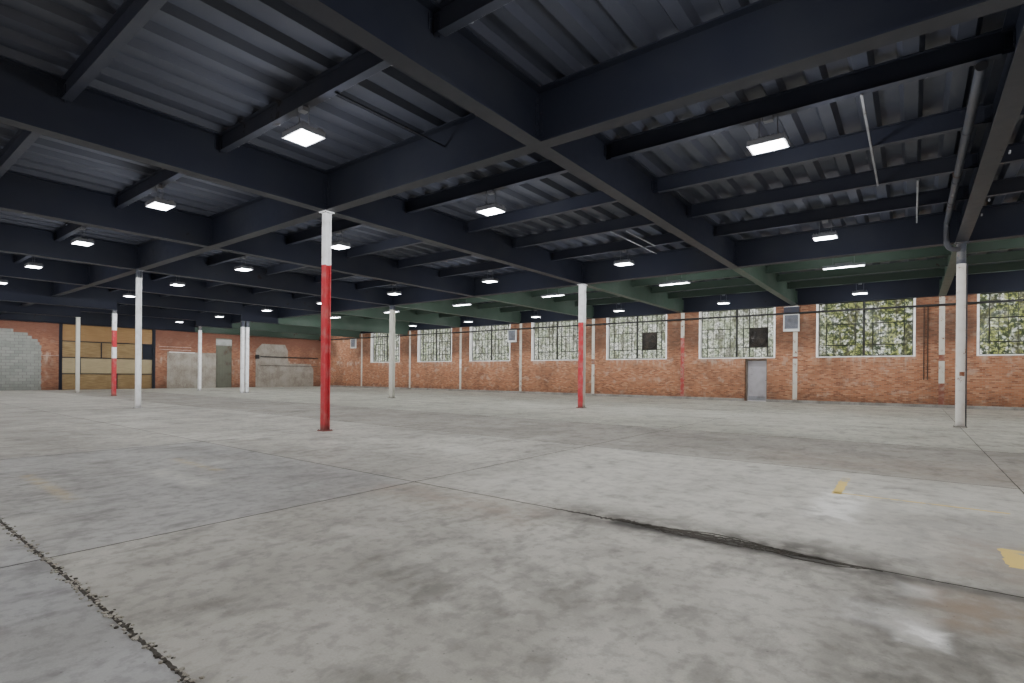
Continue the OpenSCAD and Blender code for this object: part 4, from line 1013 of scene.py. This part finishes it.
def addWindowBars(bars, lights, place, width, height):
    look = windowDetail
    edge, post, depth = look["frame"], look["post"], look["depth"]
    paneX = (width / 2 - edge - post / 2) / look["across"]
    paneZ = (height - 2 * edge) / look["up"]
    inner = depth - look["glass"]
    top = height - edge
    for side in (-1, 1):
        for k in range(1, look["across"]):
            x = side * (post / 2 + k * paneX)
            if 1 < k < look["across"] - 1:
                bars.box((x - look["bar"] / 2, 0.006, edge), (x + look["bar"] / 2, inner, top), place)
            half = 0.004 if 1 < k < look["across"] - 1 else 0.006
            bars.box((x - half, depth, edge), (x + half, depth + look["putty"], top), place)
        x0, x1 = sorted((side * post / 2, side * (width / 2 - edge)))
        for k in range(1, look["up"]):
            z = edge + k * paneZ
            if k % 2 == 0:
                bars.box((x0, 0.008, z - look["bar"] / 2), (x1, inner, z + look["bar"] / 2), place)
            bars.box((x0, depth, z - 0.004), (x1, depth + look["putty"] - 0.001, z + 0.004), place)
        # Opening light: panes 1 to 5 across, rows 2 and 3
        a, b = sorted((side * (post / 2 + paneX), side * (post / 2 + (look["across"] - 1) * paneX)))
        low, high = edge + paneZ, edge + 3 * paneZ
        rim, proud = look["lightRim"] / 2, look["lightProud"]
        for y0, y1 in ((-proud, 0.002), (depth, depth + proud + 0.002)):
            lights.box((a - rim, y0, low - rim), (a + rim, y1, high + rim), place)
            lights.box((b - rim, y0, low - rim), (b + rim, y1, high + rim), place)
            lights.box((a + rim, y0, low - rim), (b - rim, y1, low + rim), place)
            lights.box((a + rim, y0, high - rim), (b - rim, y1, high + rim), place)
        for x in (a, b):
            lights.box((x - 0.012, -0.014, (low + high) / 2 - 0.016),
                       (x + 0.012, -proud, (low + high) / 2 + 0.016),
                       place)
        mid = (a + b) / 2
        lights.box((mid - 0.02, -0.013, low - 0.006), (mid + 0.02, -proud, low + 0.006), place)
        lights.tube([(mid, -0.012, low), (mid, -0.026, low + 0.004), (mid + 0.03, -0.028, low + 0.012)],
                    0.0035, 6,
                    place)
    bars.box((-post / 2, depth, edge), (post / 2, depth + 0.006, top), place)


for wall in ("window", "near_window", "end_window"):
    bars, lights = Shape(), Shape()
    for place, width, height in windowPlaces(wall + "_frames"):
        addWindowBars(bars, lights, place, width, height)
    label = wall.title().replace("_", "")
    bars.build("bars" + label, steelWindow, "window_steel")
    lights.build("openingLights" + label, steelWindow, "window_steel", bevel=0.0012)
print("window bars ready")


# Floor: sawn joints, an open gritty joint, cracks

floorLines = {
    "sawn": 0.0055, "open": 0.01, "seed": 4, "pebbles": 900, "pebble": (0.003, 0.0075),
    "crackStart": (10.44, -4.405), "crackEnd": (9.05, -4.395),
    "joints": (-4.4, -2.16, 0.0, 2.2, 4.4, 6.6), "openJoint": ((5.2, -6.19), (12.6, -6.19)),
    # Strands of the crack: width, sideways swing, first and last share of its length
    "strands": [(0.03, 0.008, 0.0, 1.0), (0.016, 0.04, 0.1, 0.7), (0.018, -0.03, 0.08, 0.75),
                (0.008, 0.064, 0.22, 0.6), (0.008, -0.05, 0.02, 0.3)],
    # Old paint lines on the floor: ends and width
    "paint": [((10.165, -3.06), (10.165, -2.45), 0.05), ((10.15, -3.02), (10.92, -3.02), 0.022),
              ((10.85, -4.06), (10.85, -3.79), 0.095)],
}


def addPebble(shape, x, y, top, size, rng):
    turn = rng.uniform(0, 2 * math.pi)
    rings = []
    for share, z in ((0.75, -0.001), (1.0, size * 0.3), (0.5, size * 0.6)):
        reach = size * share
        rings.append([(x + reach * rng.uniform(0.7, 1.2) * math.cos(turn + t),
                       y + reach * rng.uniform(0.7, 1.2) * math.sin(turn + t), top + z) for t in turns(5)])
    shape.rings(rings)


def makeFloorLines():
    look = floorLines
    rng = random.Random(look["seed"])
    top = floorTop + 0.0008
    sawn, gritty, pale = Shape(), Shape(), Shape()
    for x in girderLines[1:-1]:
        sawn.ribbon([(x, innerLow.y + 0.05), (x, innerHigh.y - 0.05)], look["sawn"], top, rng, 0.22, 0.05)
    for y in look["joints"]:
        sawn.ribbon([(innerLow.x, y), (innerHigh.x, y)], look["sawn"], top, rng, 0.22, 0.05)
    (x0, y0), (x1, y1) = look["openJoint"]
    sawn.ribbon([(innerLow.x, y0), (x0, y0)], look["sawn"], top, rng, 0.22, 0.05)
    sawn.ribbon([(x1, y1), (innerHigh.x, y1)], look["sawn"], top, rng, 0.22, 0.05)
    gritty.ribbon([(x0, y0), (x1, y1)], look["open"], top + 0.0004, rng, 0.16, 0.012)
    for k in range(look["pebbles"]):
        x = x0 + (x1 - x0) * rng.random()
        y = y0 + rng.gauss(0, 0.01)
        addPebble(pale if rng.random() < 0.75 else gritty, x, y, top, rng.uniform(*look["pebble"]), rng)
    (x0, y0), (x1, y1) = look["crackStart"], look["crackEnd"]
    for width, swing, first, last in look["strands"]:
        path, drift = [], 0.0
        steps = int(34 * (last - first)) + 3
        for k in range(steps):
            t = first + (last - first) * k / (steps - 1)
            drift = drift * 0.7 + rng.uniform(-0.006, 0.006)
            bow = swing * math.sin(math.pi * k / (steps - 1))
            path.append((x0 + (x1 - x0) * t, y0 + (y1 - y0) * t + bow + drift))
        gritty.ribbon(path, width, top + 0.0005, rng, 0.55, 0.012, taper=True)
    lines = Shape()
    for start, end, width in look["paint"]:
        lines.ribbon([start, end], width, top - 0.0003, rng, 0.08, 0.02)
    lines.build("floorPaint", floorYellow, "concrete")
    sawn.build("floorJoints", jointGrit, "concrete")
    gritty.build("floorCracks", jointGrit, "concrete")
    pale.build("jointPebbles", stoneGrit, "concrete")


makeFloorLines()


# Columns: anchor bolts, cap bolts, weld beads

columnBolts = {"overhang": 0.024, "bolt": 0.008, "plate": 0.012, "flange": 0.013, "weld": 0.004}


def makeColumnBolts():
    look = columnBolts
    inset, size = look["overhang"] / 2, look["bolt"]
    for node in ("columns_row_1", "columns_row_2", "far_posts"):
        shape = Shape()
        for number, (low, high) in enumerate(solidBoxes(node)):
            for x in (low.x + inset, high.x - inset):
                for y in (low.y + inset, high.y - inset):
                    shape.bolt((x, y, floorTop + look["plate"]), (0, 0, 1), size)
                    shape.bolt((x, y, high.z - look["plate"]), (0, 0, -1), size)
                    if node != "far_posts":
                        shape.bolt((x, y, high.z + look["flange"]), (0, 0, 1), size)
            mid = middle((low, high))
            half = (high.x - low.x) / 2 - look["overhang"] + look["weld"] / 2
            isRound = node == "columns_row_2" and number == 0
            corners = 32 if isRound else 4
            reach = half if isRound else half * math.sqrt(2)
            start = 0.0 if isRound else math.pi / 4
            for z in (floorTop + look["plate"], high.z - look["plate"]):  # weld bead at both plates
                bead = [(mid.x + reach * math.cos(start + t), mid.y + reach * math.sin(start + t), z)
                        for t in turns(corners)]
                for a, b in zip(bead, bead[1:] + bead[:1]):
                    shape.tube([a, b], look["weld"] * 0.8, 6)
        shape.build(node.title().replace("_", "") + "Bolts", boltSteel, "dark_steel")


makeColumnBolts()


# Steelwork: bolted web cleats

steelDetail = {
    "cleatLeg": 0.052, "cleatThick": 0.007, "cleatLow": 0.075, "cleatHigh": 0.385, "boltRows": 4,
    "bolt": 0.01,
    "joistCleatHigh": 0.105, "joistBolt": 0.007,
}


def addCleat(shape, corner, alongWeb, outward, low, high, rows, size):
    # Angle in the corner of two webs: one leg on each, bolted through
    leg, thick = steelDetail["cleatLeg"], steelDetail["cleatThick"]
    along, out = Vector(alongWeb), Vector(outward)
    for first, second in ((along * leg, out * thick), (along * thick, out * leg)):
        ends = [corner, corner + first + second]
        shape.box([min(e[i] for e in ends) for i in (0, 1)] + [low],
                  [max(e[i] for e in ends) for i in (0, 1)] + [high])
    for k in range(rows):
        z = low + (high - low) * (k + 0.5) / rows
        shape.bolt(tuple(corner + along * leg * 0.6 + out * thick)[:2] + (z,), out, size)
        shape.bolt(tuple(corner + out * leg * 0.6 + along * thick)[:2] + (z,), along, size)


def makeSteelDetails():
    look = steelDetail
    halfWeb, joistWeb = 0.004, 0.002
    cleatLow = joistBottom + 0.03
    rows = [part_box("edge_beams")[0].y + 0.07] + rowY + [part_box("edge_beams")[1].y - 0.07]
    for span, (y0, y1) in zip(("near", "middle", "window"), zip(rows, rows[1:])):
        shape = Shape()
        for low, high in solidBoxes(span + "_cross_girders"):
            x = (low.x + high.x) / 2
            for y, along in ((y0 + halfWeb, 1), (y1 - halfWeb, -1)):
                for side in (-1, 1):
                    addCleat(shape, Vector((x + side * halfWeb, y, 0)), (0, along, 0), (side, 0, 0),
                             girderBottom + look["cleatLow"], girderBottom + look["cleatHigh"],
                             look["boltRows"], look["bolt"])
        steel = greenSteelAndDaylight if span == "window" else steelDark
        slot = "green_steel" if span == "window" else "dark_steel"
        shape.build(span + "GirderCleats", steel, slot)
        shape = Shape()
        for low, high in solidBoxes(span + "_joists"):
            y = (low.y + high.y) / 2
            for x, along in ((low.x + 0.0005, 1), (high.x - 0.0005, -1)):
                for side in (-1, 1):
                    addCleat(shape, Vector((x, y + side * joistWeb, 0)), (along, 0, 0), (0, side, 0),
                             cleatLow, cleatLow + look["joistCleatHigh"], 2, look["joistBolt"])
        shape.build(span + "JoistCleats", steel, slot)


makeSteelDetails()
print("steelwork dressed")


# Under the ceiling: light rails, conduits to the lamps, and clips

ceilingDetail = {
    "rail": 0.018, "railThick": 0.016, "conduit": 0.01, "clipPitch": 0.76,
    "rails": [((10.19, -1.82), (10.19, 0.6)), ((10.55, 0.65), (10.55, 2.65)),
              ((6.855, 0.562), (6.855, 2.362)), ((7.055, 0.687), (7.055, 1.812))],
    "bar": ((6.92, -4.27), (6.92, -3.06)),                    # pipe beside the nearest lamp of the near span
    "clips": [(11.16, 0.89), (11.15, 1.53), (11.16, -0.61)],  # bright clips on the girder
}


def makeCeilingDetails():
    look = ceilingDetail
    rails = Shape()
    under = joistBottom
    for (x0, y0), (x1, y1) in look["rails"]:
        half = look["rail"] / 2
        rails.box((x0 - half, y0, under - look["railThick"]), (x1 + half, y1, under - 0.001))
    (x0, y0), (x1, y1) = look["bar"]
    bar = Shape()
    bar.tube([(x0, y0, under - 0.009), (x1, y1, under - 0.009)], 0.009, 10)
    bar.build("ceilingBar", steelDark, "pipe_metal")
    for x, y in look["clips"]:
        rails.box((x - 0.008, y - 0.012, girderBottom - 0.01), (x + 0.006, y + 0.012, girderBottom + 0.018))
    rails.build("ceilingRails", steelRail, "pipe_metal", bevel=0.002)
    conduits = Shape()
    lampRows = sorted({round(middle(box).y,
                             2) for box in solidBoxes("high_bay_lamps") + solidBoxes("strip_lights")})
    pipe = look["conduit"] / 2
    level = joistBottom + 0.012
    for y in lampRows:
        side = y + 0.042
        for x0, x1 in zip(girderLines[1:], girderLines):
            conduits.tube([(x0 + 0.08, side, level), (x1 - 0.08, side, level)], pipe + 0.001, 8)
            mid = (x0 + x1) / 2
            conduits.box((mid - 0.035, y - 0.03, joistBottom - 0.034),
                         (mid + 0.035, y + 0.03, joistBottom - 0.0005))
            conduits.tube([(mid + 0.02, side, level), (mid + 0.02, side, joistBottom - 0.01),
                           (mid + 0.02, y + 0.02, joistBottom - 0.018)], pipe, 8)
            x = x0 + 0.3
            while x < x1 - 0.2:
                conduits.box((x - 0.008, y + 0.02, joistBottom + 0.0055),
                             (x + 0.008, y + 0.052, joistBottom + 0.02))
                x += look["clipPitch"]
    conduits.build("lampConduits", steelConduit, "pipe_metal")


makeCeilingDetails()


# Pipes: straps of the rainwater pipe, couplings of the wall pipe

pipeDetail = {"rain": 0.034, "rainX": 0.039, "wall": 0.025, "strap": 0.02}


def addCollar(shape, at, axis, radius, long):
    half, rim = long / 2, (radius * 0.97 + 0.008, radius + 0.010)
    shape.turned([(radius - 0.002, -half), (rim[0], -half), (rim[1], -half + 0.004), (rim[1], half - 0.004),
                  (rim[0], half), (radius - 0.002, half)], 24, facing(at, axis))


def makePipeDetails():
    look = pipeDetail
    low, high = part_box("rainwater_pipe")
    x, runZ = low.x + look["rainX"], joistBottom - look["rain"] - 0.0003
    straps = Shape()
    inner, outer = look["rain"] + 0.001, look["rain"] + 0.0045
    half = look["strap"] / 2
    joistRows = sorted({round(middle(box).y, 3) for box in solidBoxes("middle_joists")})
    for y in joistRows:  # hung from the joists that it passes
        if not low.y + 0.02 < y < high.y - 0.3:
            continue
        for side in (-1, 1):
            a, b = sorted((x + side * inner, x + side * outer))
            straps.box((a, y - half, runZ), (b, y + half, joistBottom - 0.0002))
            straps.bolt((x + side * outer, y, runZ + look["rain"] * 0.5), (side, 0, 0), 0.006)
        bend = [math.pi * (1 + k / 12) for k in range(13)]
        straps.rings([[(x + r * math.cos(t), edge, runZ + r * math.sin(t)) for r, row in (
            (inner, bend), (outer, bend[::-1])) for t in row] for edge in (y - half, y + half)])
    straps.build("rainwaterStraps", boltSteel, "dark_steel")

    couplings = Shape()
    low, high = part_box("wall_pipe")
    pipeY, pipeZ, radius = low.y + look["wall"], (low.z + high.z) / 2, look["wall"]
    for k, lineX in enumerate(girderLines[1:-1]):
        addCollar(couplings, (lineX + 0.45 + 0.2 * (k % 3), pipeY, pipeZ), (1, 0, 0), radius, 0.05)
    couplings.build("wallPipeCouplings", steelDarkPipe, "pipe_metal")


makePipeDetails()


# Pipes on the window wall and the round column, louvres of the ventilators

wallDetail = {
    "pipes": [(0.26, 2.48), (0.33, 2.48)], "pipeLow": 0.75, "pipe": 0.011, "conduit": 0.008,
    "ventRim": 0.03, "blades": 11, "apron": 0.07, "casing": (0.185, 0.052, 2.484, 2.684),
}


def addConduit(shape, path, radius, straps=True):
    shape.tube(path, radius, 10)
    if straps:
        for a, b in zip(path, path[1:]):
            a, b = Vector(a), Vector(b)
            steps = int((b - a).length / 0.45)
            along = (b - a).normalized()
            size = Vector([0.01 if abs(share) > 0.5 else radius + 0.006 for share in along])
            for k in range(steps):
                at = a + (b - a) * (k + 0.5) / steps
                shape.box(at - size, at + size)


def makeWallDetails():
    look = wallDetail
    wall = innerHigh.y
    shape = Shape()
    for away, top in look["pipes"]:  # two pipes beside the column of the first girder line
        x = girderLines[1] - away
        addConduit(shape, [(x, wall - 0.018, look["pipeLow"]), (x, wall - 0.018, top)], look["pipe"])
    shape.build("wallConduits", steelBrownPipe, "pipe_metal")

    low, high = solidBoxes("columns_row_2")[0]
    mid = middle((low, high))
    x = high.x - columnBolts["overhang"] + look["conduit"] + 0.001
    shape = Shape()
    shape.tube([(x, mid.y, floorTop + 0.014), (x, mid.y, girderBottom - 0.3)], look["conduit"], 10)
    for k in range(5):
        z = floorTop + 0.35 + 0.45 * k
        shape.box((x - 0.016, mid.y - 0.013, z), (x + 0.011, mid.y + 0.013, z + 0.012))
    shape.build("columnConduit", steelPipe, "pipe_metal")

    frames, blades, backs = Shape(), Shape(), Shape()
    rim = look["ventRim"]
    for low, high in solidBoxes("wall_ventilators"):
        front, sill = low.y, low.z + look["apron"]
        for a, b in (((low.x, low.z), (high.x, sill)), ((low.x, high.z - rim), (high.x, high.z)),
                     ((low.x, sill), (low.x + rim, high.z - rim)),
                     ((high.x - rim, sill), (high.x, high.z - rim))):
            frames.box((a[0], front - 0.012, a[1]), (b[0], front + 0.001, b[1]))
        for k in range(look["blades"]):
            z = sill + 0.01 + (high.z - rim - sill - 0.014) * k / look["blades"]
            blades.add([(x, y, z + dz) for x in (low.x + rim, high.x - rim) for y, dz in (
                (front - 0.01, 0.0), (front + 0.001, 0.018), (front + 0.001, 0.021), (front - 0.01, 0.003))],
                [(0, 1, 2, 3), (7, 6, 5, 4), (0, 4, 5, 1), (1, 5, 6, 2), (2, 6, 7, 3), (3, 7, 4, 0)])
        backs.box((low.x + rim, front - 0.002, sill), (high.x - rim, front + 0.0005, high.z - rim))
    frames.build("ventilatorFrames", ventWhite, "white_paint", bevel=0.002)
    low, high = solidBoxes("wall_ventilators")[0]
    halfWide, deep, z0, z1 = look["casing"]
    mid = middle((low, high))
    backs.box((mid.x - halfWide, wall - deep, z0), (mid.x + halfWide, wall + 0.001, z1 - 0.012))
    backs.build("ventilatorBacks", louvreBlue, "dark_steel")
    blades.build("ventilatorLouvres", steelConduit, "white_paint")
    trim = Shape()
    trim.box((mid.x - halfWide - 0.004, wall - deep - 0.004, z1 - 0.012),
             (mid.x + halfWide + 0.004, wall + 0.001, z1))
    trim.build("ventilatorTrim", whiteTrim, "white_paint", bevel=0.001)


makeWallDetails()


# Far end wall: sheets, nails, uprights and a panel over the opening, pipes, boards of the closed doorway

farDetail = {
    "nail": 0.004, "upright": 0.035,
    "uprights": [(-0.83, 1), (-0.189, 2), (-0.842, 3), (0.31, 0)],  # place and board row, from the floor up
    "panel": (1.16, 1.495, 1.302, 1.864),                             # blue-grey sheet: y, y, z, z
    # Pipes on the far wall: low y, high y, height, radius, material
    "pipes": [(5.93, 8.95, 1.545, 0.022, "dark"), (5.93, 8.95, 1.127, 0.009, "dark"),
              (-1.935, -1.47, 1.332, 0.01, "pale"), (1.72, 2.92, 1.826, 0.011, "pale"),
              (1.72, 2.92, 1.704, 0.011, "pale")],
    "box": (5.7, 5.86, 1.44, 1.63), "line": (2.09, 3.08, 1.59, 1.628),
    "doorFace": -14.137, "panelFace": -14.113, "doorHigh": 1.97, "doorBoards": 5,
    "ledges": (0.35, 1.00, 1.65), "ledgeHigh": 0.09,
}


def makeFarWallDetails():
    look = farDetail
    wall = innerLow.x
    rng = random.Random(11)
    sheets, nails, uprights = Shape(), Shape(), Shape()
    rows = sorted(solidBoxes("opening_boards"), key=lambda b: b[0].z)
    for number, (low, high) in enumerate(rows):
        split = [y for y, row in look["uprights"] if row == number]
        half = look["upright"] / 2
        edges = [low.y] + [e for y in split for e in (y - half, y + half)] + [high.y]
        for y in split:
            uprights.box((high.x - 0.001, y - half, low.z), (high.x + 0.009, y + half, high.z))
        for y0, y1 in zip(edges[::2], edges[1::2]):
            if number == 2 and y1 > look["panel"][0]:
                y1 = look["panel"][0] - 0.004
            sheets.box((high.x - 0.001, y0 + 0.006, low.z + 0.005),
                       (high.x + 0.006, y1 - 0.006, high.z - 0.005))
            count = max(2, int((y1 - y0) / 0.35))
            for k in range(count):
                y = y0 + 0.04 + (y1 - y0 - 0.08) * k / (count - 1)
                for z in (low.z + 0.035, high.z - 0.035):
                    nails.bolt((high.x + 0.006, y + rng.uniform(-0.01, 0.01), z), (1, 0, 0), look["nail"])
    sheets.build("boardedSheets", boards, "boards", bevel=0.001)
    nails.build("boardNails", boltSteel, "dark_steel")
    y0, y1, z0, z1 = look["panel"]
    face = rows[0][1].x
    uprights.box((face - 0.001, y0, z0), (face + 0.008, y1, z1))
    for y in (y0 + 0.02, y1 - 0.02):
        for z in (z0 + 0.03, (z0 + z1) / 2, z1 - 0.03):
            uprights.bolt((face + 0.008, y, z), (1, 0, 0), 0.006)
    frameLow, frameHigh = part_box("boarded_frame")
    for y in (frameLow.y + 0.05, frameHigh.y - 0.05):
        for k in range(7):
            uprights.bolt((frameHigh.x, y, floorTop + 0.2 + 0.34 * k), (1, 0, 0), 0.011)
    uprights.build("boardedUprights", steelDark, "dark_steel", bevel=0.001)

    pipes, palePipes = Shape(), Shape()
    for y0, y1, z, radius, shade in look["pipes"]:
        x = wall + 0.01 + radius + 0.012
        addConduit(pipes if shade == "dark" else palePipes, [(x, y0, z), (x, y1, z)], radius)
    y0, y1, z0, z1 = look["box"]
    pipes.box((wall - 0.001, y0, z0), (wall + 0.075, y1, z1))
    pipes.build("farWallPipes", steelDarkPipe, "pipe_metal")
    palePipes.build("farWallPalePipes", pinkPipe, "pipe_metal")

    low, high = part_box("closed_doorway")
    door, face = Shape(), look["doorFace"]
    wide = (high.y - low.y - 0.10) / look["doorBoards"]
    for k in range(look["doorBoards"]):
        y = low.y + 0.05 + wide * k
        door.box((face - 0.001, y + 0.002, floorTop + 0.03),
                 (face + 0.006, y + wide - 0.002, look["doorHigh"] - 0.02))
    for z in look["ledges"]:
        door.box((face + 0.004, low.y + 0.05, floorTop + z),
                 (face + 0.015, high.y - 0.05, floorTop + z + look["ledgeHigh"]))
    door.build("closedDoorBoards", doorOld, "old_door_paint", bevel=0.0015)
    panel, face = Shape(), look["panelFace"]
    panel.box((face - 0.001, low.y + 0.012, look["doorHigh"] + 0.012),
              (face + 0.005, high.y - 0.012, high.z - 0.05))
    panel.build("closedDoorPanel", panelPale, "render", bevel=0.001)
    trim = Shape()
    y0, y1, z0, z1 = look["line"]
    face = solidBoxes("render_patches")[0][1].x
    trim.box((face - 0.001, y0, z0), (face + 0.010, y1, z1))
    trim.build("renderLine", whiteTrim, "white_paint", bevel=0.001)


makeFarWallDetails()
print("walls dressed")


# Fans in two of the windows

fanDetail = {
    "blades": 6, "hub": 0.035, "guards": 5, "edge": 0.020,
    # Ring: how far past the blades, and height
    "ring": [(0, -0.002), (0.006, -0.004), (0.006, 0.027), (0, 0.027), (-0.006, 0.020), (-0.004, 0.004)],
    # Blade: share of the reach, width, twist in degrees; its root is in the hub
    "root": (0.030, 44), "blade": [(0.45, 0.055, 36), (0.72, 0.070, 29), (0.92, 0.060, 24)], "thick": 0.0012,
}


def makeFans():
    look = fanDetail
    shape, guards = Shape(), Shape()
    hub, thick = look["hub"], look["thick"]
    for low, high in solidBoxes("fan_panels"):
        mid = (low + high) / 2
        size = min(high.x - low.x, high.z - low.z) / 2 - look["edge"]
        place = Matrix.Translation((mid.x, low.y + 0.004, mid.z)) @ Matrix.Rotation(-math.pi / 2, 4, "X")
        shape.turned([(size + past, z) for past, z in look["ring"]], 40, place, closed=True)
        sections = [(hub * 0.8, *look["root"])]
        sections += [(size * share, wide, twist) for share, wide, twist in look["blade"]]
        for angle in turns(look["blades"]):
            rings = []
            for r, wide, twist in sections:
                c, s = math.cos(math.radians(twist)), math.sin(math.radians(twist))
                corners = [(u * wide / 2, side * thick) for u, side in ((-1, -1), (1, -1), (1, 1), (-1, 1))]
                rings.append([(r, a * c - b * s, 0.014 + (a * s + b * c) * 0.35) for a, b in corners])
            shape.rings(rings, place @ Matrix.Rotation(angle, 4, "Z"))
        shape.turned([(hub, 0.026), (hub, 0.006), (hub * 0.7, 0.0), (0.006, -0.004)], 20, place)
        for k in range(1, look["guards"] + 1):
            r = size * k / look["guards"]
            loop = [(r * math.cos(t), r * math.sin(t), -0.002) for t in turns(40)]
            guards.tube(loop + [(r, 0, -0.002)], 0.0016, 5, place)
        for k in range(4):
            a = math.pi * k / 4 + 0.3
            bar = [(side * size * math.cos(a), side * size * math.sin(a), -0.003) for side in (1, -1)]
            guards.tube(bar, 0.002, 5, place)
        for x in (low.x + 0.007, high.x - 0.007):
            for z in (low.z + 0.007, high.z - 0.007):
                shape.bolt((x, low.y, z), (0, -1, 0), 0.006)
    shape.build("fanRotors", steelFan, "dark_steel")
    guards.build("fanGuards", boltSteel, "dark_steel")


makeFans()


# Door: lock, kick plates and hinge screws

doorDetail = {
    "kickHigh": 0.11, "plate": 0.0015, "leafOuter": 0.205, "leafThick": 0.022, "leafHigh": 1.14,
    "screw": 0.0025,
    "hinges": (0.14, 0.5, 0.86),  # shares of the leaf's height
    "lock": [(0.013, -0.001), (0.013, 0.004), (0.011, 0.006), (0.007, 0.006), (0.007, 0.009)],
}


def makeDoorDetails():
    look = doorDetail
    frameLow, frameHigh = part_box("door_frame")
    hinge = frame["record"]["behaviour"]["joints"][0]["pos_m"]
    outer = innerHigh.y + look["leafOuter"]
    inner = outer - look["leafThick"]
    x0, x1 = frameLow.x + 0.032, frameHigh.x - 0.032
    z0 = floorTop + 0.008
    handleX, handleZ = x1 - 0.034, floorTop + 0.5
    metal = Shape()
    for y, side in ((outer, 1), (inner, -1)):
        for dz in (-0.036, 0.036):
            for dx in (-0.009, 0.009):
                metal.bolt((handleX + dx, y + side * 0.004, handleZ + dz), (0, side, 0), 0.0028)
        place = Matrix.Translation((handleX, y, handleZ + 0.085))
        metal.turned(look["lock"], 20, place @ Matrix.Rotation(-side * math.pi / 2, 4, "X"))
        low = y if side > 0 else y - look["plate"]
        metal.box((x0 + 0.03, low, z0 + 0.02), (x1 - 0.03, low + look["plate"], z0 + 0.02 + look["kickHigh"]))
        for k in range(5):
            x = x0 + 0.04 + (x1 - x0 - 0.08) * k / 4
            for z in (z0 + 0.028, z0 + 0.012 + look["kickHigh"]):
                metal.bolt((x, y + side * look["plate"], z), (0, side, 0), 0.0025)
    metal.build("doorLockAndPlates", steelConduit, "door_paint", body="door")

    leafScrews, frameScrews = Shape(), Shape()
    for share in look["hinges"]:
        z = z0 + share * look["leafHigh"]
        for dz in (0.006, 0.018):
            leafScrews.bolt((hinge[0] + 0.022, outer + 0.003, z + 0.001 + dz), (0, 1, 0), look["screw"])
            frameScrews.bolt((hinge[0] - 0.015, outer + 0.003, z - 0.024 + dz), (0, 1, 0), look["screw"])
    for z in (0.25, 0.65, 1.05):
        for x, side in ((frameLow.x + 0.042, 1), (frameHigh.x - 0.042, -1)):
            frameScrews.bolt((x, inner - 0.03, floorTop + z), (side, 0, 0), 0.004)
    leafScrews.build("hingeScrewsLeaf", boltSteel, "door_paint", body="door")
    frameScrews.build("hingeScrewsFrame", boltSteel, "door_paint")


makeDoorDetails()


# Roof and parapet: felt laps, lead edge, joints between coping stones

roofDetail = {"lap": 0.5, "lapWide": 0.045, "joint": 0.006, "stone": 0.46, "fall": 0.01,
              "upstand": 0.055, "upstandHigh": 0.05, "skin": 0.0008}


def makeRoofDetails():
    look = roofDetail
    low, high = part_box("roof_covering")
    top = high.z
    rng = random.Random(5)
    laps = Shape()
    x = low.x + look["lap"]
    while x < high.x - 0.1:
        laps.ribbon([(x, low.y + 0.06), (x, high.y - 0.06)], look["lapWide"], top + 0.003, rng, 0.06, 0.9,
                    0.005)
        x += look["lap"]
    laps.build("feltLaps", felt, "roofing")
    skirt, deep = Shape(), look["upstand"]
    for corners in ((low.x, low.y, high.x, low.y + deep), (low.x, high.y - deep, high.x, high.y),
                    (low.x, low.y + deep, low.x + deep, high.y - deep),
                    (high.x - deep, low.y + deep, high.x, high.y - deep)):
        skirt.box((*corners[:2], top - 0.002), (*corners[2:], top + look["upstandHigh"]))
    skirt.build("roofUpstand", leadGrey, "roofing", bevel=0.008)
    joints, skin = Shape(), look["skin"]
    for cl, ch in solidBoxes("coping"):
        size = ch - cl
        count = int(max(size.x, size.y) / look["stone"])
        for k in range(1, count):
            along, across = (0, 1) if size.x > size.y else (1, 0)
            place = cl[along] + size[along] * k / count
            outwards = 1 if cl[across] > 0 else -1
            ends = sorted((cl[across] - skin, ch[across] + skin), key=lambda v: v * outwards)
            section = [(ends[0], cl.z - skin), (ends[1], cl.z - skin), (ends[1], ch.z + skin),
                       (ends[0], ch.z - look["fall"] + skin)]
            sides = [place + side * look["joint"] / 2 for side in (-1, 1)]
            joints.rings([[(u, v, z) if along == 0 else (v, u, z) for v, z in section] for u in sides])
    joints.build("copingJoints", jointGrit, "coping_stone")


makeRoofDetails()
print("roof dressed")
